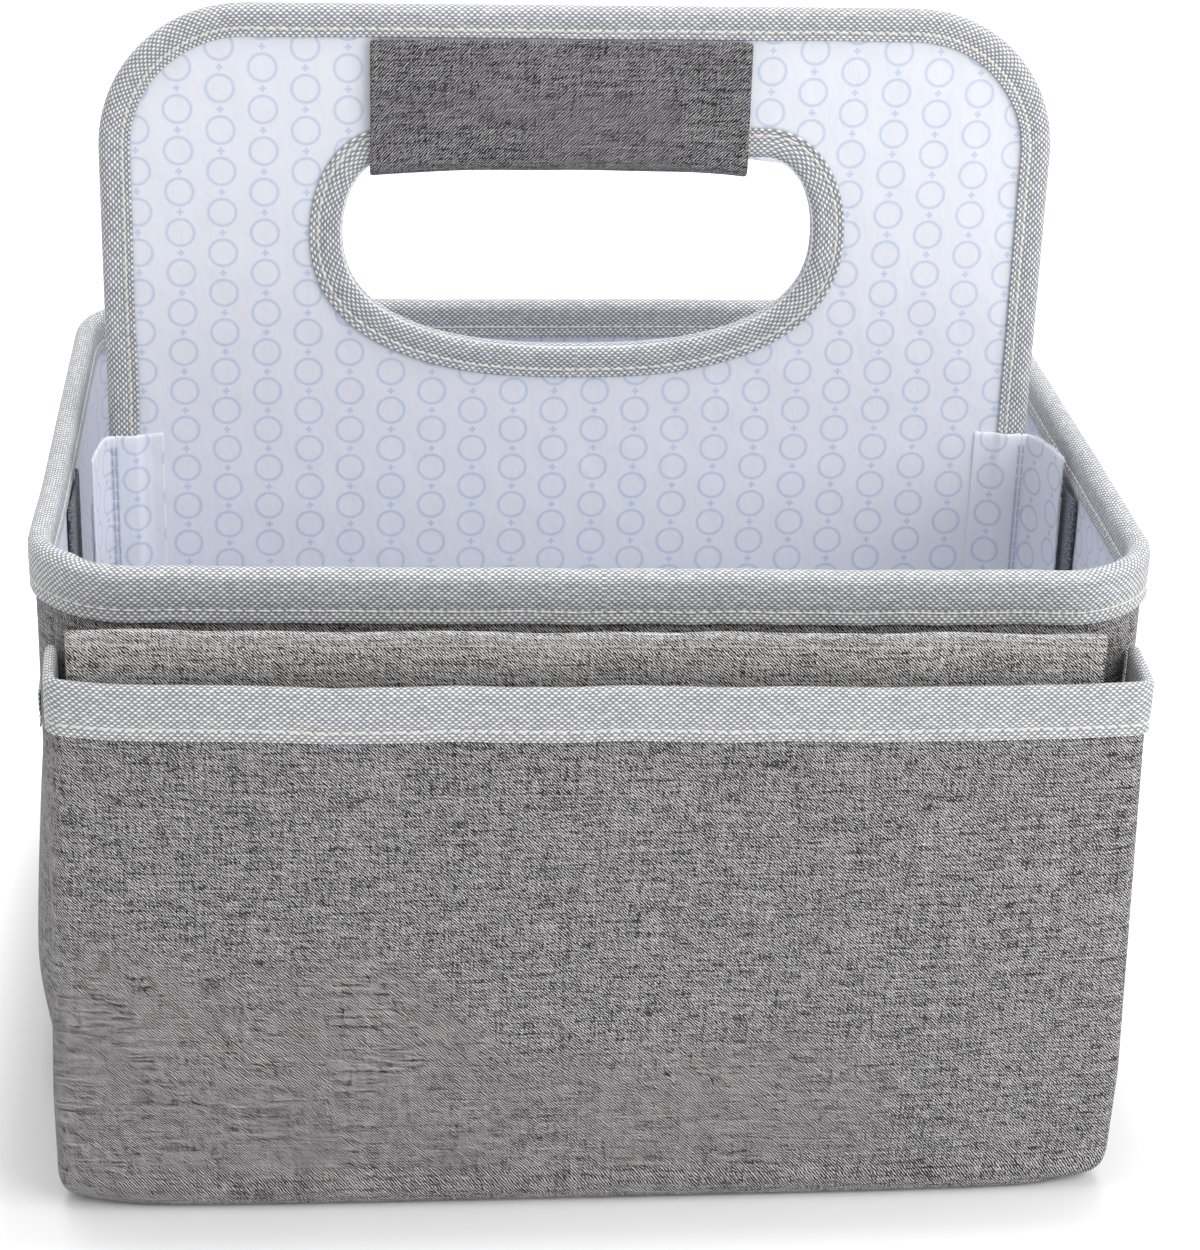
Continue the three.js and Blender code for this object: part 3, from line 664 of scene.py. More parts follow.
def rim_point(run, distance):
    """Lays the rim's tape: it sways and frills a little, and is pleated inside the front left corner."""
    out, height = fold_over(distance, rim_out, rim_in, rim_top, rim_band)
    middle = (rim_out - rim_in) / 2
    pull = pull_of_stitch(distance, rim_rows) * (-1 if out > middle else 1)
    around = run / perimeter * 2 * math.pi
    ring = Vector((math.cos(around), math.sin(around), 0))
    sway = noise.noise(ring * 3 + Vector((0, 0, 5))) * 0.35 * mm + noise.noise(ring * 11) * 0.25 * mm
    frill = noise.noise(ring * 26) * 0.45 * mm * max(1 - distance / rim_rows[0], 0)
    from_pleat = min(abs(run - perimeter + core_x + corner_round * math.pi / 4) / pleat_width, 2)
    pleat = pleat_depth * math.exp(-from_pleat ** 2 * 2) * (1 if out < middle else 0.2)
    point, away = tub_plan(run % perimeter, out + pull + frill - pleat)
    point.z = height + sway - (0.3 * mm if height > rim_top - 2 * mm else 0)
    return point


rim = lay_cloth("rim_tape", (0, perimeter), (0, rim_tape_width), (330, 26), rim_point, closed=True)
thicken(rim, tape_thickness)
settle(rim, "tub", tape, "binding_tape", "rim_binding")


stitch_lift = 0.2 * mm
dive_share = 0.6
dive_depth = 7


def sew(name, length, at, body, thread=pale_thread, radius=0.33 * mm):
    """One thread that runs along a seam, over the cloth and down through it between stitches. For a
    distance along the seam, at gives the point on the cloth and its outward direction."""
    count = round(length / stitch_pitch)
    pitch = length / count

    def place(run, turn):
        point, away = at(run)
        ahead, _ = at(run + pitch / 10)
        side = away.cross(ahead - point).normalized()
        dip = max(math.cos(2 * math.pi * run / pitch) - dive_share, 0)
        lift = stitch_lift - dip * dive_depth * radius
        return point + away * (lift + radius * math.cos(turn)) + side * (radius * math.sin(turn))

    piece = lay_cloth(name, (0, length), (0, 2 * math.pi), (count * 7, 6), place, closed=True)
    settle(piece, body, thread, "binding_tape")
    return piece


def on_rim(distance, side):
    """Place of the rim's stitches on the tape's outer or inner face."""
    def at(run):
        point = rim_point(run, distance)
        return point, tub_plan(run % perimeter)[1] * side
    return at


rim_stitches = [
    sew("rim_stitches_outside", perimeter, on_rim(rim_rows[0], 1), "tub"),
    sew("rim_stitches_inside", perimeter, on_rim(rim_rows[1], -1), "tub"),
]


# Front pocket
# One panel of the heather canvas, sewn into the two front corner seams and under the front edge. It stands
# out in folded gussets at both ends, bows forward in between, and turns under in a soft roll at the foot.

pocket_low, pocket_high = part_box("front_pocket")
band_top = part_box("front_pocket_binding")[1].z
pocket_forward = -pocket_low.y - half_depth
pocket_height = pocket_high.z - pocket_low.z
pocket_fold_x = 144.9 * mm
pocket_fold_forward = 17.8 * mm
pocket_fold_swell = 5 * mm
pocket_fold_radius = 4.5 * mm
sewn_forward = 1.5 * mm
roll_height = 0.07
under_turn = 9 * mm

# Share of the height: shares of the forward reach at the middle and at the fold, and of the side swell
pocket_profile = {
    0.07: (0.66, 0.55, 1.0),
    0.24: (0.8, 0.75, 0.95),
    0.48: (0.9, 0.85, 0.6),
    0.72: (0.97, 0.93, 0.25),
    0.89: (1.0, 1.0, 0.0),
    1.0: (1.0, 1.0, 0.0),
}


def blend_steps(steps, at):
    """Values between the two nearest steps of a profile."""
    keys = sorted(steps)
    at = min(max(at, keys[0]), keys[-1])
    after = next(i for i, key in enumerate(keys) if key >= at) or 1
    before = after - 1
    share = (at - keys[before]) / (keys[after] - keys[before])
    return [a + (b - a) * share for a, b in zip(steps[keys[before]], steps[keys[after]])]


class Path:
    """A line through points, read by the distance along it."""

    def __init__(self, points):
        self.points = points
        self.reach = [0.0]
        for before, after in zip(points, points[1:]):
            self.reach.append(self.reach[-1] + (after - before).length)
        self.length = self.reach[-1]

    def at(self, distance):
        """Place at a distance along the path, which ends at its last point."""
        distance = min(max(distance, 0), self.length)
        number = min(max(bisect.bisect_right(self.reach, distance), 1), len(self.points) - 1)
        start, end = self.reach[number - 1], self.reach[number]
        return self.points[number - 1].lerp(self.points[number], (distance - start) / (end - start))

    def turned(self, distance):
        """Direction of the path there, smoothed over a millimetre each way."""
        return (self.at(distance + mm) - self.at(distance - mm)).normalized()


def near_tub(point, out):
    """Nearest point of the tub's outline, moved out by a distance."""
    core = Vector((min(max(point.x, -core_x), core_x), min(max(point.y, -core_y), core_y), 0))
    return core + (Vector((point.x, point.y, 0)) - core).normalized() * (corner_round + out)


@functools.lru_cache(None)
def pocket_plan(rise):
    """Outline of the pocket's outer face at a share of its height, from the left seam to the right one."""
    middle, fold_forward, swell = blend_steps(pocket_profile, rise)
    turn = math.pi + seam_turn
    seam = Vector((math.cos(turn), math.sin(turn), 0)) * (corner_round + 0.3 * mm)
    seam += Vector((-core_x, -core_y, 0))
    fold_y = -half_depth - sewn_forward - (pocket_fold_forward - sewn_forward) * fold_forward
    fold = Vector((-pocket_fold_x - swell * pocket_fold_swell, fold_y, 0))
    middle_y = -half_depth - middle * pocket_forward

    def on_front(x):
        return Vector((x, middle_y + (fold.y - middle_y) * abs(x / fold.x) ** 5, 0))

    start = fold + (seam - fold).normalized() * pocket_fold_radius
    end = on_front(fold.x + pocket_fold_radius)
    left = [seam.lerp(start, i / 4) for i in range(4)]
    left += [start.lerp(fold, i / 6).lerp(fold.lerp(end, i / 6), i / 6) for i in range(7)]
    front = [on_front(end.x * math.cos(math.pi * i / 60)) for i in range(1, 60)]
    right = [Vector((-point.x, point.y, 0)) for point in reversed(left)]
    return Path(left + front + right)


pocket_flat_width = pocket_plan(1.0).length


def diagonal_crease(across, height, start, slope, width):
    """A soft crease that runs up to the right through a starting place."""
    return soft_peak((height - start[1]) - (across - start[0]) * slope, width)


def pocket_point(run, height):
    """Lays the pocket: rolled under at the foot, gathered below its tape, slack between."""
    share = run / pocket_flat_width + 0.5
    rise = max(height / pocket_height, roll_height)
    plan = pocket_plan(rise)
    point = plan.at(share * plan.length).copy()
    if height < roll_height * pocket_height:
        foot = near_tub(point, 1.5 * mm + max(8.5 * mm * (1 - abs(share * 2 - 1) ** 6), 0.3 * mm))
        roll = min(1 - height / (roll_height * pocket_height), 1) * math.pi / 2
        point = point.lerp(foot, 1 - math.cos(roll))
        z = pocket_low.z + roll_height * pocket_height * (1 - math.sin(roll))
        if height < 0:
            point = point.lerp(near_tub(point, 0.3 * mm), -height / under_turn)
        return Vector((point.x, point.y, z))
    off_fold = min(max((pocket_fold_x - abs(point.x)) / (25 * mm), 0), 1)
    from_band = max(pocket_height - 17 * mm - height, 0)
    gathers = ripple(run, height * 0.25, 17 * mm, 20.0) * 1.1 * mm * math.exp(-from_band / (16 * mm))
    slack = ripple(run, height, 70 * mm, 21.0) * 1.3 * mm + ripple(run, height, 28 * mm, 22.0) * 0.35 * mm
    off_fold *= min(from_band / (8 * mm), 1)
    low_right = min(max((run - 60 * mm) / (50 * mm), 0), 1)
    creases = (diagonal_crease(run, height, (95 * mm, 20 * mm), 0.75, 3.5 * mm)
               - diagonal_crease(run, height, (88 * mm, 34 * mm), 0.55, 5 * mm)) * 0.5 * mm * low_right
    point.y -= (gathers + slack + creases) * off_fold
    return Vector((point.x, point.y, pocket_low.z + height))


pocket = lay_cloth("pocket_cloth", (-pocket_flat_width / 2, pocket_flat_width / 2),
                   (-under_turn, pocket_height - 2 * mm), (170, 70), pocket_point)
thicken(pocket, 1.1 * mm)
settle(pocket, "tub", tub_canvas, "heather_cloth", "front_pocket")


# Front pocket binding
# The same woven tape folded over the pocket's mouth and sewn through once, ending in the corner seams. It
# waves a little, because the canvas below it is gathered into it.

pocket_band = 15.5 * mm
pocket_band_out = 1.1 * mm
pocket_band_in = 2.3 * mm
pocket_band_width = folded_length(pocket_band_out, pocket_band_in, pocket_band, pocket_band)
pocket_stitch = 3.2 * mm


def tape_on_plan(path, band, out, inner, top, wave, rows):
    """Lays a folded tape along a level path, with a wavy edge and pulled in along its stitches."""
    middle = (out - inner) / 2

    def place(run, distance):
        offset, height = fold_over(distance, out, inner, top, band)
        along = path.turned(run)
        away = Vector((along.y, -along.x, 0))
        sign = -1 if offset > middle else 1
        offset += sign * pull_of_stitch(distance, rows)
        sway = ripple(run, 0, 38 * mm, 30.0) * wave + ripple(run, 0, 15 * mm, 31.0) * wave * 0.3
        lean = ripple(run, 0, 24 * mm, 32.0) * wave * 0.6
        point = path.at(run) + away * (offset + lean)
        return Vector((point.x, point.y, height + sway))
    return place


band_path = Path(pocket_plan(1.0).points[1:-1])
band_rows = (pocket_stitch, pocket_band_width - pocket_stitch)
band_point = tape_on_plan(band_path, pocket_band, pocket_band_out, pocket_band_in, band_top, 0.9 * mm,
                          band_rows)
band = lay_cloth("pocket_tape", (0, band_path.length), (0, pocket_band_width), (200, 22), band_point)
thicken(band, tape_thickness)
settle(band, "tub", tape, "binding_tape", "front_pocket_binding")


def on_tape(path, point_of, distance):
    """Place of the stitches on a tape, and the direction away from the cloth there."""
    def at(run):
        along = path.turned(run)
        return point_of(run, distance), Vector((along.y, -along.x, 0))
    return at


band_stitches = sew("pocket_stitches", band_path.length, on_tape(band_path, band_point, pocket_stitch),
                    "tub")


# Side pockets
# A flat canvas pocket on each end wall, sewn down along both sides and the foot, with rounded lower
# corners and a bound mouth. It stands off the wall most in its lower half and lies close at the mouth.

sides = {-1: "left", 1: "right"}
light_tape_thickness = 0.64 * mm


def side_pocket(side, word):
    """One end wall's pocket, its tape and the stitches through it."""
    low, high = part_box(f"{word}_side_pocket")
    band_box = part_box(f"{word}_side_pocket_binding")
    half = high.y
    round_corner = 12 * mm
    band_height = band_box[1].z - band_box[0].z
    wall_face = half_width + 1.0 * mm
    belly = 7.5 * mm
    mouth = 1.4 * mm

    def pocket_place(run, height):
        rise = min(max(height / (high.z - low.z - band_height), 0), 1)
        fullness = math.sin(min(rise / 0.3, 1) * math.pi / 2)
        swell = fullness * (belly + (mouth - belly) * rise ** 1.5)
        drop = max(round_corner - height, 0)
        narrow = (half - round_corner + math.sqrt(round_corner ** 2 - drop ** 2)) / half
        bulge = (swell + 0.8 * mm) * (1 - abs(run / half) ** (7 - 5 * rise ** 3))
        wobble = ripple(run, height, 30 * mm, 40.0 + side) * 0.35 * mm * fullness * (1 - abs(run / half))
        return Vector((side * (wall_face + bulge + wobble), side * run * narrow, low.z + height))

    cloth = lay_cloth(f"{word}_pocket_cloth", (-half, half), (0, high.z - low.z - 2 * mm), (60, 44),
                      pocket_place)
    thicken(cloth, 0.9 * mm)
    settle(cloth, "tub", tub_canvas, "heather_cloth", f"{word}_side_pocket")

    rim_line = [pocket_place(-half + 2 * half * i / 90, high.z - low.z) for i in range(91)]
    path = Path([Vector((p.x, p.y, 0)) for p in rim_line])
    face_out, face_in, inner_band = 0.9 * mm, 1.0 * mm, 6 * mm
    width = folded_length(face_out, face_in, band_height, inner_band)
    place = tape_on_plan(path, band_height, face_out, face_in, band_box[1].z, 0.5 * mm, (pocket_stitch,))
    tape_piece = lay_cloth(f"{word}_pocket_tape", (0, path.length), (0, width), (100, 16), place)
    thicken(tape_piece, light_tape_thickness)
    settle(tape_piece, "tub", tape, "binding_tape", f"{word}_side_pocket_binding")
    stitches = sew(f"{word}_pocket_stitches", path.length, on_tape(path, place, pocket_stitch), "tub")


for side, word in sides.items():
    side_pocket(side, word)


# Loop strips
# A dark grey strip of loop pile, sewn upright on each side wall's lining. Its cut edges zigzag and shed
# short fibres.

def loop_pile():
    """Loop pile: dark grey with a furry matt surface and scattered lighter, bluish loops."""
    loop_size = 0.7 * mm
    material, tree, output = new_material("loop_pile")
    loops = streaks(flat_place(tree)[0], loop_size, loop_size, 3.0)
    colour = mixed(loops.between(0.45, 0.68), 0x35353D, 0x8A90A2)
    finish_surface(tree, output, colour, 1.0, loops, 0.7 * mm, Sheen_Weight=0.3)
    return material


pile = loop_pile()


def loop_strip(side, word):
    """One side wall's loop strip."""
    low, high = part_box(f"{word}_loop_strip")
    width = high.y - low.y
    face = low.x if side > 0 else -high.x

    def place(run, height):
        zigzag = 0.5 * mm * (2 * abs(height / (2.2 * mm) % 1 - 0.5) - 0.5)
        edge = abs(run) / (width / 2)
        fuzz = ripple(run, height, 1.3 * mm, 50.0 + side) * 0.25 * mm
        bend = run + zigzag * edge * math.copysign(1, run)
        y = (low.y + high.y) / 2 - side * bend
        return Vector((side * (face + 0.2 * mm + fuzz + 0.8 * mm * edge ** 8), y, low.z + height))

    strip = lay_cloth(f"{word}_loop_tape", (-width / 2, width / 2), (0, high.z - low.z), (24, 150), place)
    thicken(strip, 1.0 * mm)
    settle(strip, "tub", pile, "loop_strip", f"{word}_loop_strip")


for side, word in sides.items():
    loop_strip(side, word)


# Divider
# A sheet of the printed lining lies on each side of the divider's board, cut out round the hand hole.

divider_low, divider_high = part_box("divider_edge_binding")
sheet_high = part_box("divider_back_sheet")[1]
sheet_slack = 0.35 * mm
divider_half = divider_high.x
divider_corner = 42 * mm
edge_inset = divider_high.z - sheet_high.z
hole_low, hole_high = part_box("hand_hole_binding")
hole_band = 9.5 * mm
hole_half = hole_high.x - hole_band
hole_top = hole_high.z - hole_band
hole_bottom = hole_low.z + hole_band
shoulder_width = 14 * mm
shoulder_height = 22 * mm


def divider_edge(inset):
    """The divider's outer edge from the left foot over the top to the right foot."""
    half, top, radius = divider_half - inset, divider_high.z - inset, divider_corner - inset
    points = [Vector((-half, 0, divider_low.z))]
    for side in (-1, 1):
        for i in range(25):
            turn = math.pi / 2 * (i if side < 0 else 24 - i) / 24
            points.append(Vector((side * (half - radius + radius * math.cos(turn)), 0,
                                  top - radius + radius * math.sin(turn))))
    points.append(Vector((half, 0, divider_low.z)))
    return points


def hole_edge():
    """The hand hole from the middle of its lower edge round to the right, over the top and back: a bowed
    lower edge, rounded shoulders and a straight top."""
    bow = 0.8
    widest = hole_top - shoulder_height
    right = []
    for i in range(31):
        turn = math.pi / 2 * (1 - i / 30)
        right.append(Vector((hole_half * math.cos(turn) ** bow, 0,
                             widest - (widest - hole_bottom) * math.sin(turn) ** bow)))
    for i in range(1, 17):
        turn = math.pi / 2 * i / 16
        right.append(Vector((hole_half - shoulder_width + shoulder_width * math.cos(turn), 0,
                             widest + shoulder_height * math.sin(turn))))
    left = [Vector((-point.x, 0, point.z)) for point in reversed(right)]
    return right + left


outer_line = divider_edge(edge_inset)
foot_middle = Vector((0, 0, divider_low.z))
sheet_outline = Path([foot_middle] + outer_line + [foot_middle])
hole_line = Path(list(reversed(hole_edge())))


def divider_sheet(name, side, node_name):
    """One face's sheet: side is -1 for the front and 1 for the back."""
    face = sheet_high.y

    def place(share, out):
        turn = share if side < 0 else 1 - share
        inner = hole_line.at(turn * hole_line.length)
        outer = sheet_outline.at(turn * sheet_outline.length)
        point = inner.lerp(outer, out)
        lie = ripple(point.x, point.z, 55 * mm, 60.0 + side) * sheet_slack
        lie += ripple(point.x, point.z, 20 * mm, 62.0) * 0.12 * mm
        return Vector((point.x, side * (face + max(lie, -0.1 * mm)), point.z))

    sheet = map_flat(lay_cloth(name, (0, 1), (0, 1), (240, 30), place, closed=True), 0, 2)
    thicken(sheet, 0.4 * mm)
    settle(sheet, "divider", lining_sheet, "printed_lining", node_name)


divider_sheet("divider_front", -1, "divider_front_sheet")
divider_sheet("divider_back", 1, "divider_back_sheet")


# Divider bindings
# Woven tape folded over the divider's outer edge, and over the edge of the hand hole, each sewn through
# with one row near its inner edge.

tape_half = divider_high.y
edge_band = 9 * mm
edge_stitch = 2.3 * mm


def tape_on_edge(path, band, rows, closed):
    """Lays a folded tape over an upright edge in the plane of the divider."""
    def place(run, distance):
        if closed:
            run %= path.length
            along = (path.at((run + mm) % path.length) - path.at((run - mm) % path.length)).normalized()
        else:
            along = path.turned(run)
        outward = Vector((-along.z, 0, along.x))
        depth, reach = fold_over(distance, tape_half, tape_half, 0, band)
        sign = -1 if depth > 0 else 1
        depth += sign * pull_of_stitch(distance, rows)
        inner_edge = max(1 + reach / band, 0) if abs(depth) > tape_half * 0.6 else 1
        sway = ripple(run, 0, 30 * mm, 70.0) * 0.35 * mm * (1 - inner_edge)
        point = path.at(run) + outward * (reach + sway)
        return Vector((point.x, -depth, point.z))
    return place


def on_edge(place, distance, side):
    """Place of the stitches on the front or back of a tape round an upright edge."""
    def at(run):
        return place(run, distance), Vector((0, side, 0))
    return at


def bind_edge(tape_name, thread_name, node_name, path, band, steps, closed):
    """Folds a tape over one of the divider's edges and sews it through."""
    width = folded_length(tape_half, tape_half, band, band)
    rows = {"front": (edge_stitch, -1), "back": (width - edge_stitch, 1)}
    place = tape_on_edge(path, band, [row for row, _ in rows.values()], closed)
    piece = lay_cloth(tape_name, (0, path.length), (0, width), (steps, 22), place, closed)
    thicken(piece, tape_thickness)
    settle(piece, "divider", tape, "binding_tape", node_name)
    stitches = [sew(f"{thread_name}_{face}", path.length, on_edge(place, row, side), "divider")
                for face, (row, side) in rows.items()]
    return piece


edge_tape = bind_edge("divider_tape", "divider_stitches", "divider_edge_binding", Path(divider_edge(0)),
                      edge_band, 300, False)
hole_tape = bind_edge("hand_hole_tape", "hole_stitches", "hand_hole_binding",
                      Path(hole_edge() + hole_edge()[:1]), hole_band, 160, True)


# Grip sleeve
# A piece of darker heather canvas wrapped up round the grip from below and caught under the tape along the
# top. Its two ends are hemmed, so they stand out a little.

grip_canvas = heather_canvas("dark_heather_canvas", 0x0E0C0D, 0xA6A4A5, 0.33)
sleeve_low, sleeve_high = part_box("grip_sleeve")
sleeve_half = sleeve_high.x
sleeve_middle = -6 * mm
sleeve_hang = 2.2 * mm
sleeve_face = sleeve_high.y
sleeve_leg = sleeve_high.z - sleeve_low.z + sleeve_hang
hem_width = 3 * mm
sleeve_wrap = folded_length(sleeve_face, sleeve_face, sleeve_leg, sleeve_leg)


def sleeve_point(run, distance):
    """Lays the sleeve: hemmed ends, a stitched groove beside each hem, and lower edges that sag."""
    depth, height = fold_over(distance, sleeve_face, sleeve_face, 0, sleeve_leg)
    to_end = sleeve_half - abs(run)
    hem = 0.35 * mm if to_end < hem_width else 0
    groove = 0.3 * mm * soft_peak(to_end - hem_width, 0.7 * mm)
    soft = ripple(run, distance, 22 * mm, 80.0) * 0.4 * mm
    sag = 1.8 * mm * (abs(run) / sleeve_half) ** 3 + ripple(run, 0, 30 * mm, 81.0) * 0.5 * mm
    scale = 1 + (hem - groove + soft - 0.3 * mm) / sleeve_face
    low = min(max(1 + height / sleeve_leg, 0), 1)
    return Vector((run + sleeve_middle, -depth * scale, sleeve_low.z - sleeve_hang - height - sag * low))


sleeve = lay_cloth("grip_cloth", (-sleeve_half, sleeve_half), (sleeve_wrap, 0), (90, 48), sleeve_point)
thicken(sleeve, 1.2 * mm)
settle(sleeve, "divider", grip_canvas, "dark_heather_cloth", "grip_sleeve")

dark_thread = sewing_thread("dark_sewing_thread", 0x5A5758)


def down_sleeve(across):
    """Place of the stitches down the front of the sleeve."""
    def at(run):
        return sleeve_point(across, run), Vector((0, -1, 0))
    return at


hem_stitches = [
    sew(f"{word}_grip_hem_stitches", sleeve_leg - hem_width, down_sleeve(side * (sleeve_half - hem_width)),
        "divider", dark_thread, 0.16 * mm)
    for side, word in sides.items()
]


# Tabs
# A strip of the printed sheet, doubled, is sewn down each upright edge of the divider's front. Its leg folds
# at the edge and lies along the side wall, with a white hook strip on its back. The left one hangs a little
# free of the wall. The cut edges are frayed.

tab_thread = sewing_thread("lavender_sewing_thread", 0xB9C1D2)

# The sheet's white core, which shows as matt fluff where it is cut, and the hooks of the same white
core_fibre, tree, output = new_material("white_cut_fibres")
finish_surface(tree, output, linear(0xECEEF4), 0.95, Sheen_Weight=0.2)

tab_seams = (134.0 * mm, 135.3 * mm)
tab_seam_foot = 12 * mm
tab_seam_length = 170 * mm


def tab_line(side, points):
    """A path on one side, listed so that the tab's visible face is on its right."""
    line = [Vector((side * x * mm, y * mm, 0)) for x, y in points]
    return Path(line if side > 0 else list(reversed(line)))


def tab_strip(name, side, points, body, node_name, bends=False):
    """Lays one upright strip of sheet along a path. One that bends goes from the divider over to its tab."""
    low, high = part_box(node_name)
    path = tab_line(side, points)

    def place(run, height):
        along = path.turned(run)
        away = Vector((along.y, -along.x, 0))
        lie = ripple(run, height, 22 * mm, 90.0 + side) * 0.3 * mm
        point = path.at(run) + away * min(lie, 0.2 * mm)
        uneven = ripple(run, 0, 6 * mm, 91.0) * 0.5 * mm * (height / (high.z - low.z)) ** 6
        return Vector((point.x, point.y, low.z + height + uneven))

    strip = lay_cloth(name, (0, path.length), (0, high.z - low.z), (28, 70), place)
    thicken(strip, 0.9 * mm)
    settle(strip, None if bends else body, lining_sheet, "printed_lining", node_name)
    if bends:
        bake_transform(strip)
    return path, place, high.z - low.z


def fray(name, count, at, body, length=0.9 * mm):
    """Short fibres that stand out of a cut edge. at gives, for a share of the edge, the point and the
    direction away from the sheet."""
    bm = bmesh.new()
    for number in range(count):
        point, away = at((number + 0.5) / count)
        lean = Vector((noise.noise((number * 1.7, 0.3, 1)), noise.noise((number * 2.3, 1.3, 2)),
                       noise.noise((number * 3.1, 2.3, 3)))) * 1.4
        direction = (away + lean).normalized()
        size = length * (0.5 + abs(noise.noise((number * 1.1, 7.7, 4))))
        turn = direction.to_track_quat("Z", "Y").to_matrix().to_4x4()
        place = Matrix.Translation(point + direction * size / 2) @ turn
        bmesh.ops.create_cone(bm, segments=3, radius1=0.09 * mm, radius2=0.03 * mm, depth=size, matrix=place)
    piece = make_piece(name, bm)
    settle(piece, body, core_fibre, "printed_lining")


def tab(side, word):
    """One tab: its face on the divider, its leg with frayed edges, its hook strip and its stitches. Places
    are in millimetres out from the middle and along Y."""
    body = f"{word}_tab"
    root = [(120.5, -2.3), (124, -2.35), (126.4, -2.9), (128.2, -4.1), (130.5, -4.25), (134.5, -4.3)]
    under_stitches = [(134.2, -4.35), (136.1, -4.38)]
    spread = 0.45 if side < 0 else 1
    leg = [(0, -4.6), (1.4, -6.8), (3.1, -11.5), (4.6, -17), (5.95, -23.5)]
    leg = [(136.75 + out * spread, y) for out, y in leg]
    tab_strip(f"{word}_tab_face", side, root, "divider", f"{word}_tab_root")
    path, place, height = tab_strip(f"{word}_tab_leg", side, under_stitches + leg, body, body,
                                    bends=True)

    def along_top(share):
        share = 0.2 + share * 0.8 if side > 0 else share * 0.8
        return place(share * path.length, height) + Vector((side * 0.4 * mm, 0, -0.1 * mm)), Vector((0, 0, 1))

    def along_free_edge(share):
        free = path.length if side > 0 else 0
        return place(free, share * height) + Vector((side * 0.5 * mm, 0, 0)), Vector((0, -1, 0))

    fray(f"{word}_top_fibres", 70, along_top, body)
    fray(f"{word}_edge_fibres", 420, along_free_edge, body)

    low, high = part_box(f"{word}_hook_strip")
    behind_leg = 1.5

    def hook_place(run, height_up):
        grit = ripple(run, height_up, 0.9 * mm, 95.0) * 0.12 * mm
        y = (low.y + high.y) / 2 + side * run
        part = next(i for i in range(len(leg) - 1) if y >= leg[i + 1][1] * mm)
        (near, near_y), (far, far_y) = leg[part], leg[part + 1]
        x = near + (far - near) * (y / mm - near_y) / (far_y - near_y) + behind_leg
        return Vector((side * (x * mm + grit), y, low.z + height_up))

    half = (high.y - low.y) / 2
    hooks = lay_cloth(f"{word}_hooks", (-half, half), (0, high.z - low.z), (14, 120), hook_place)
    thicken(hooks, 0.6 * mm)
    settle(hooks, body, core_fibre, "hook_strip", f"{word}_hook_strip")

    for number, x in enumerate(tab_seams):
        def on_fold(run, x=x):
            return Vector((side * x, -4.3 * mm, tab_seam_foot + run)), Vector((0, -1, 0))
        sew(f"{word}_tab_stitches_{number}", tab_seam_length, on_fold, "divider", tab_thread, 0.24 * mm)


for side, word in sides.items():
    tab(side, word)


# Changing mat
# A thin mat of the tub's heather canvas, folded in three like a letter, stands in the front pocket with its
# hemmed edge up. The hem is turned over and sewn in the cloth's own colour. The mat's canvas is drawn as a
# slightly lighter copy of the tub's: painted light that makes up for the shade of the rim over it, with more
# painted light on the hem's top.

mat_low, mat_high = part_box("changing_mat")
mat_lean_back = 11 * mm
mat_half = mat_high.x
mat_middle = -4 * mm
mat_layer = 1.5 * mm
mat_pitch = 1.75 * mm
mat_forward = 16.5 * mm
mat_hem = 5.4 * mm
mat_side_hem = 9 * mm
mat_edge = 0.7 * mm
mat_fold_drop = 4.5 * mm
mat_round = 28 * mm
mat_lean = math.atan2(mat_lean_back, mat_high.z - mat_low.z)
mat_length = (mat_high.z - mat_low.z) / math.cos(mat_lean)


def half_turn(across, up, radius, towards, over):
    """Points of a half circle round a place on the section, over it or, when over is -1, under it."""
    return [Vector((across - towards * radius * math.cos(turn), 0, up + over * radius * math.sin(turn)))
            for turn in (math.pi * i / 6 for i in range(1, 6))]


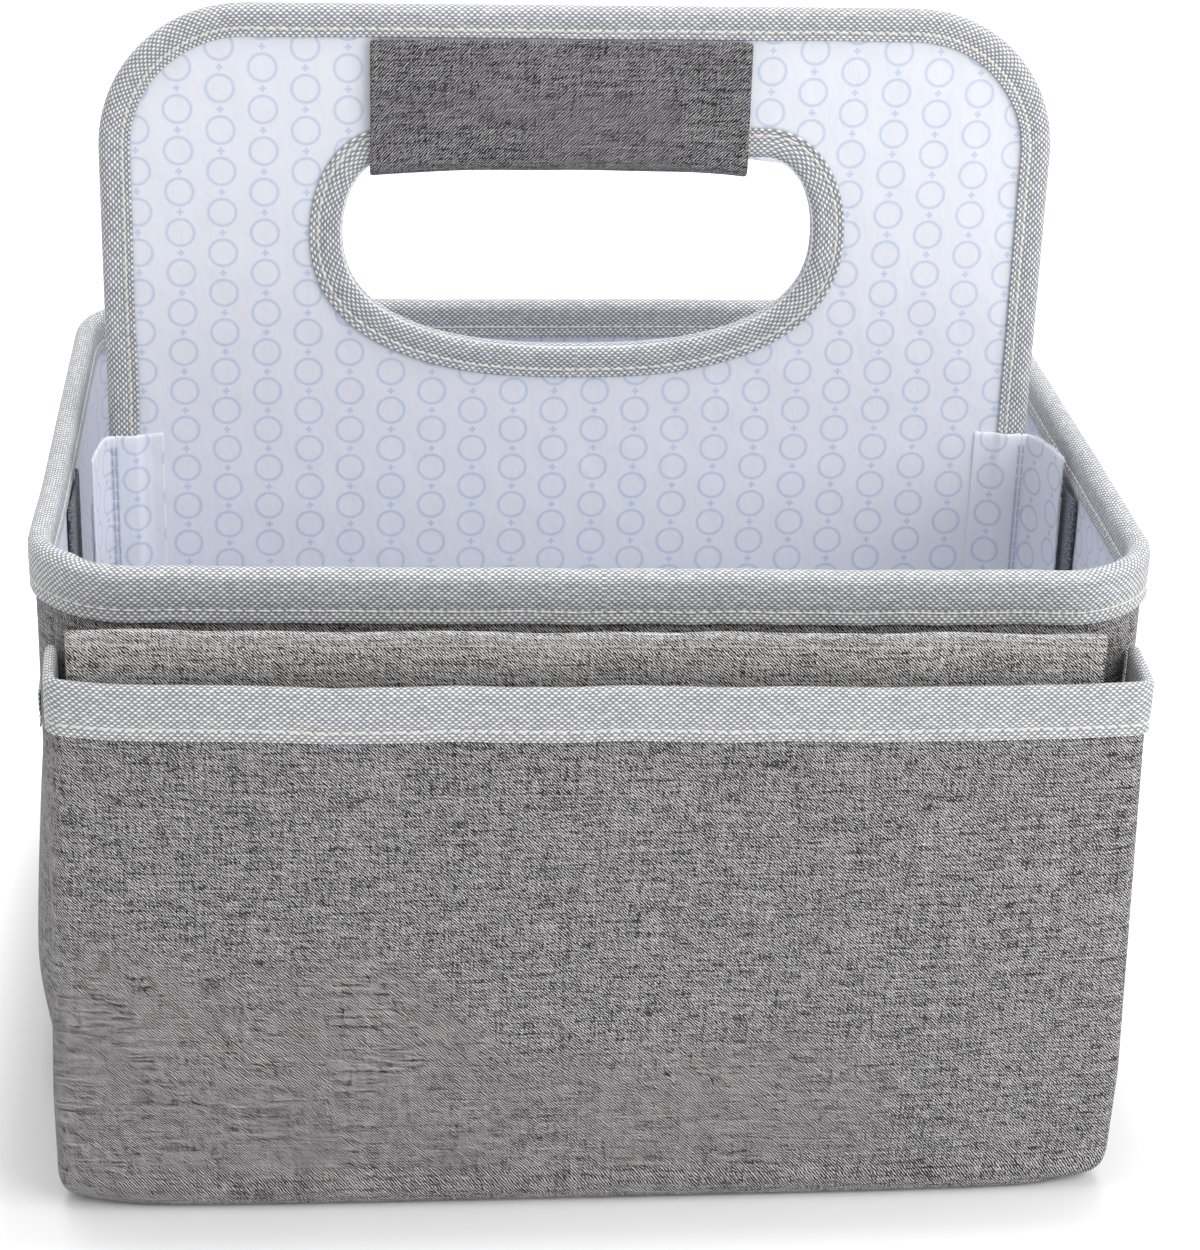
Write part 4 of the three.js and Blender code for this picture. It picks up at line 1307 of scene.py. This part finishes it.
def mat_section():
    """Middle of the mat's thickness, from the back layer's free foot up, down and up again to the hem, as
    depth behind the front face and rise above the foot."""
    front, middle, back = (mat_layer / 2 + mat_pitch * i for i in range(3))
    bend = mat_pitch / 2
    upper = mat_length - mat_fold_drop - mat_layer / 2 - bend
    lower = mat_layer / 2 + bend
    points = [Vector((back, 0, 2 * mm)), Vector((back, 0, upper))]
    points += half_turn((back + middle) / 2, upper, bend, -1, 1)
    points += [Vector((middle, 0, upper)), Vector((middle, 0, lower))]
    points += half_turn((middle + front) / 2, lower, bend, -1, -1)
    points += [Vector((front, 0, lower)), Vector((front, 0, mat_length - mat_edge))]
    points += half_turn(front + mat_edge, mat_length - mat_edge, mat_edge, 1, 1)
    return Path(points)


mat_line = mat_section()
mat_up = Vector((0, -math.sin(mat_lean), math.cos(mat_lean)))
mat_back = Vector((0, math.cos(mat_lean), math.sin(mat_lean)))
front_start = mat_line.length - mat_length


def mat_point(run, distance):
    """Lays the mat. Its front layer is slack, and waves towards the hem and the sewn side folds."""
    section = mat_line.at(distance)
    depth, rise = section.x, section.z
    drop = max(mat_round - rise, 0)
    narrow = (mat_half - mat_round + math.sqrt(mat_round ** 2 - drop ** 2)) / mat_half
    if distance > front_start:
        from_top = mat_line.length - distance
        wave = -1.1 * mm * (1 + ripple(run, 0, 26 * mm, 100.0) * 1.6) / 2 * max(1 - from_top / (30 * mm), 0)
        seam = 0.6 * mm * soft_peak(from_top - mat_hem, 0.8 * mm)
        hem = 0.5 * mm * min(max((mat_hem - from_top) / mm, 0), 1)
        side_fold = 0.5 * mm * soft_peak(mat_half - abs(run) - mat_side_hem, 1.2 * mm)
        slack = ripple(run, rise, 40 * mm, 101.0) * 0.7 * mm + ripple(run, rise, 13 * mm, 102.0) * 0.25 * mm
        depth += seam - hem + side_fold + slack + 0.2 * mm
        rise += wave
    point = mat_up * (rise - mat_length) + mat_back * depth
    return Vector((run * narrow + mat_middle, point.y - half_depth - mat_forward, point.z + mat_high.z))


hem_line = mat_line.length - mat_hem
# Lighter copy of the tub's canvas: painted light against the rim's shade, and painted light on the hem's top
# between the two given places
mat_canvas = heather_canvas("painted_light_heather_canvas", 0x131112, 0xD3D1D0, 0.36,
                            (hem_line - 3 * mm, hem_line + 4 * mm))
mat = lay_cloth("folded_mat", (-mat_half, mat_half), (0, mat_line.length), (110, 190), mat_point)
thicken(mat, 1.3 * mm, 0)
settle(mat, "mat", mat_canvas, "heather_cloth", "changing_mat")


def on_mat(run):
    return mat_point(run - mat_half, hem_line) - mat_back * 0.7 * mm, -mat_back


grey_thread = sewing_thread("pale_grey_sewing_thread", 0xBDB8B4)
mat_stitches = sew("mat_hem_stitches", 2 * mat_half, on_mat, "mat", grey_thread, 0.2 * mm)
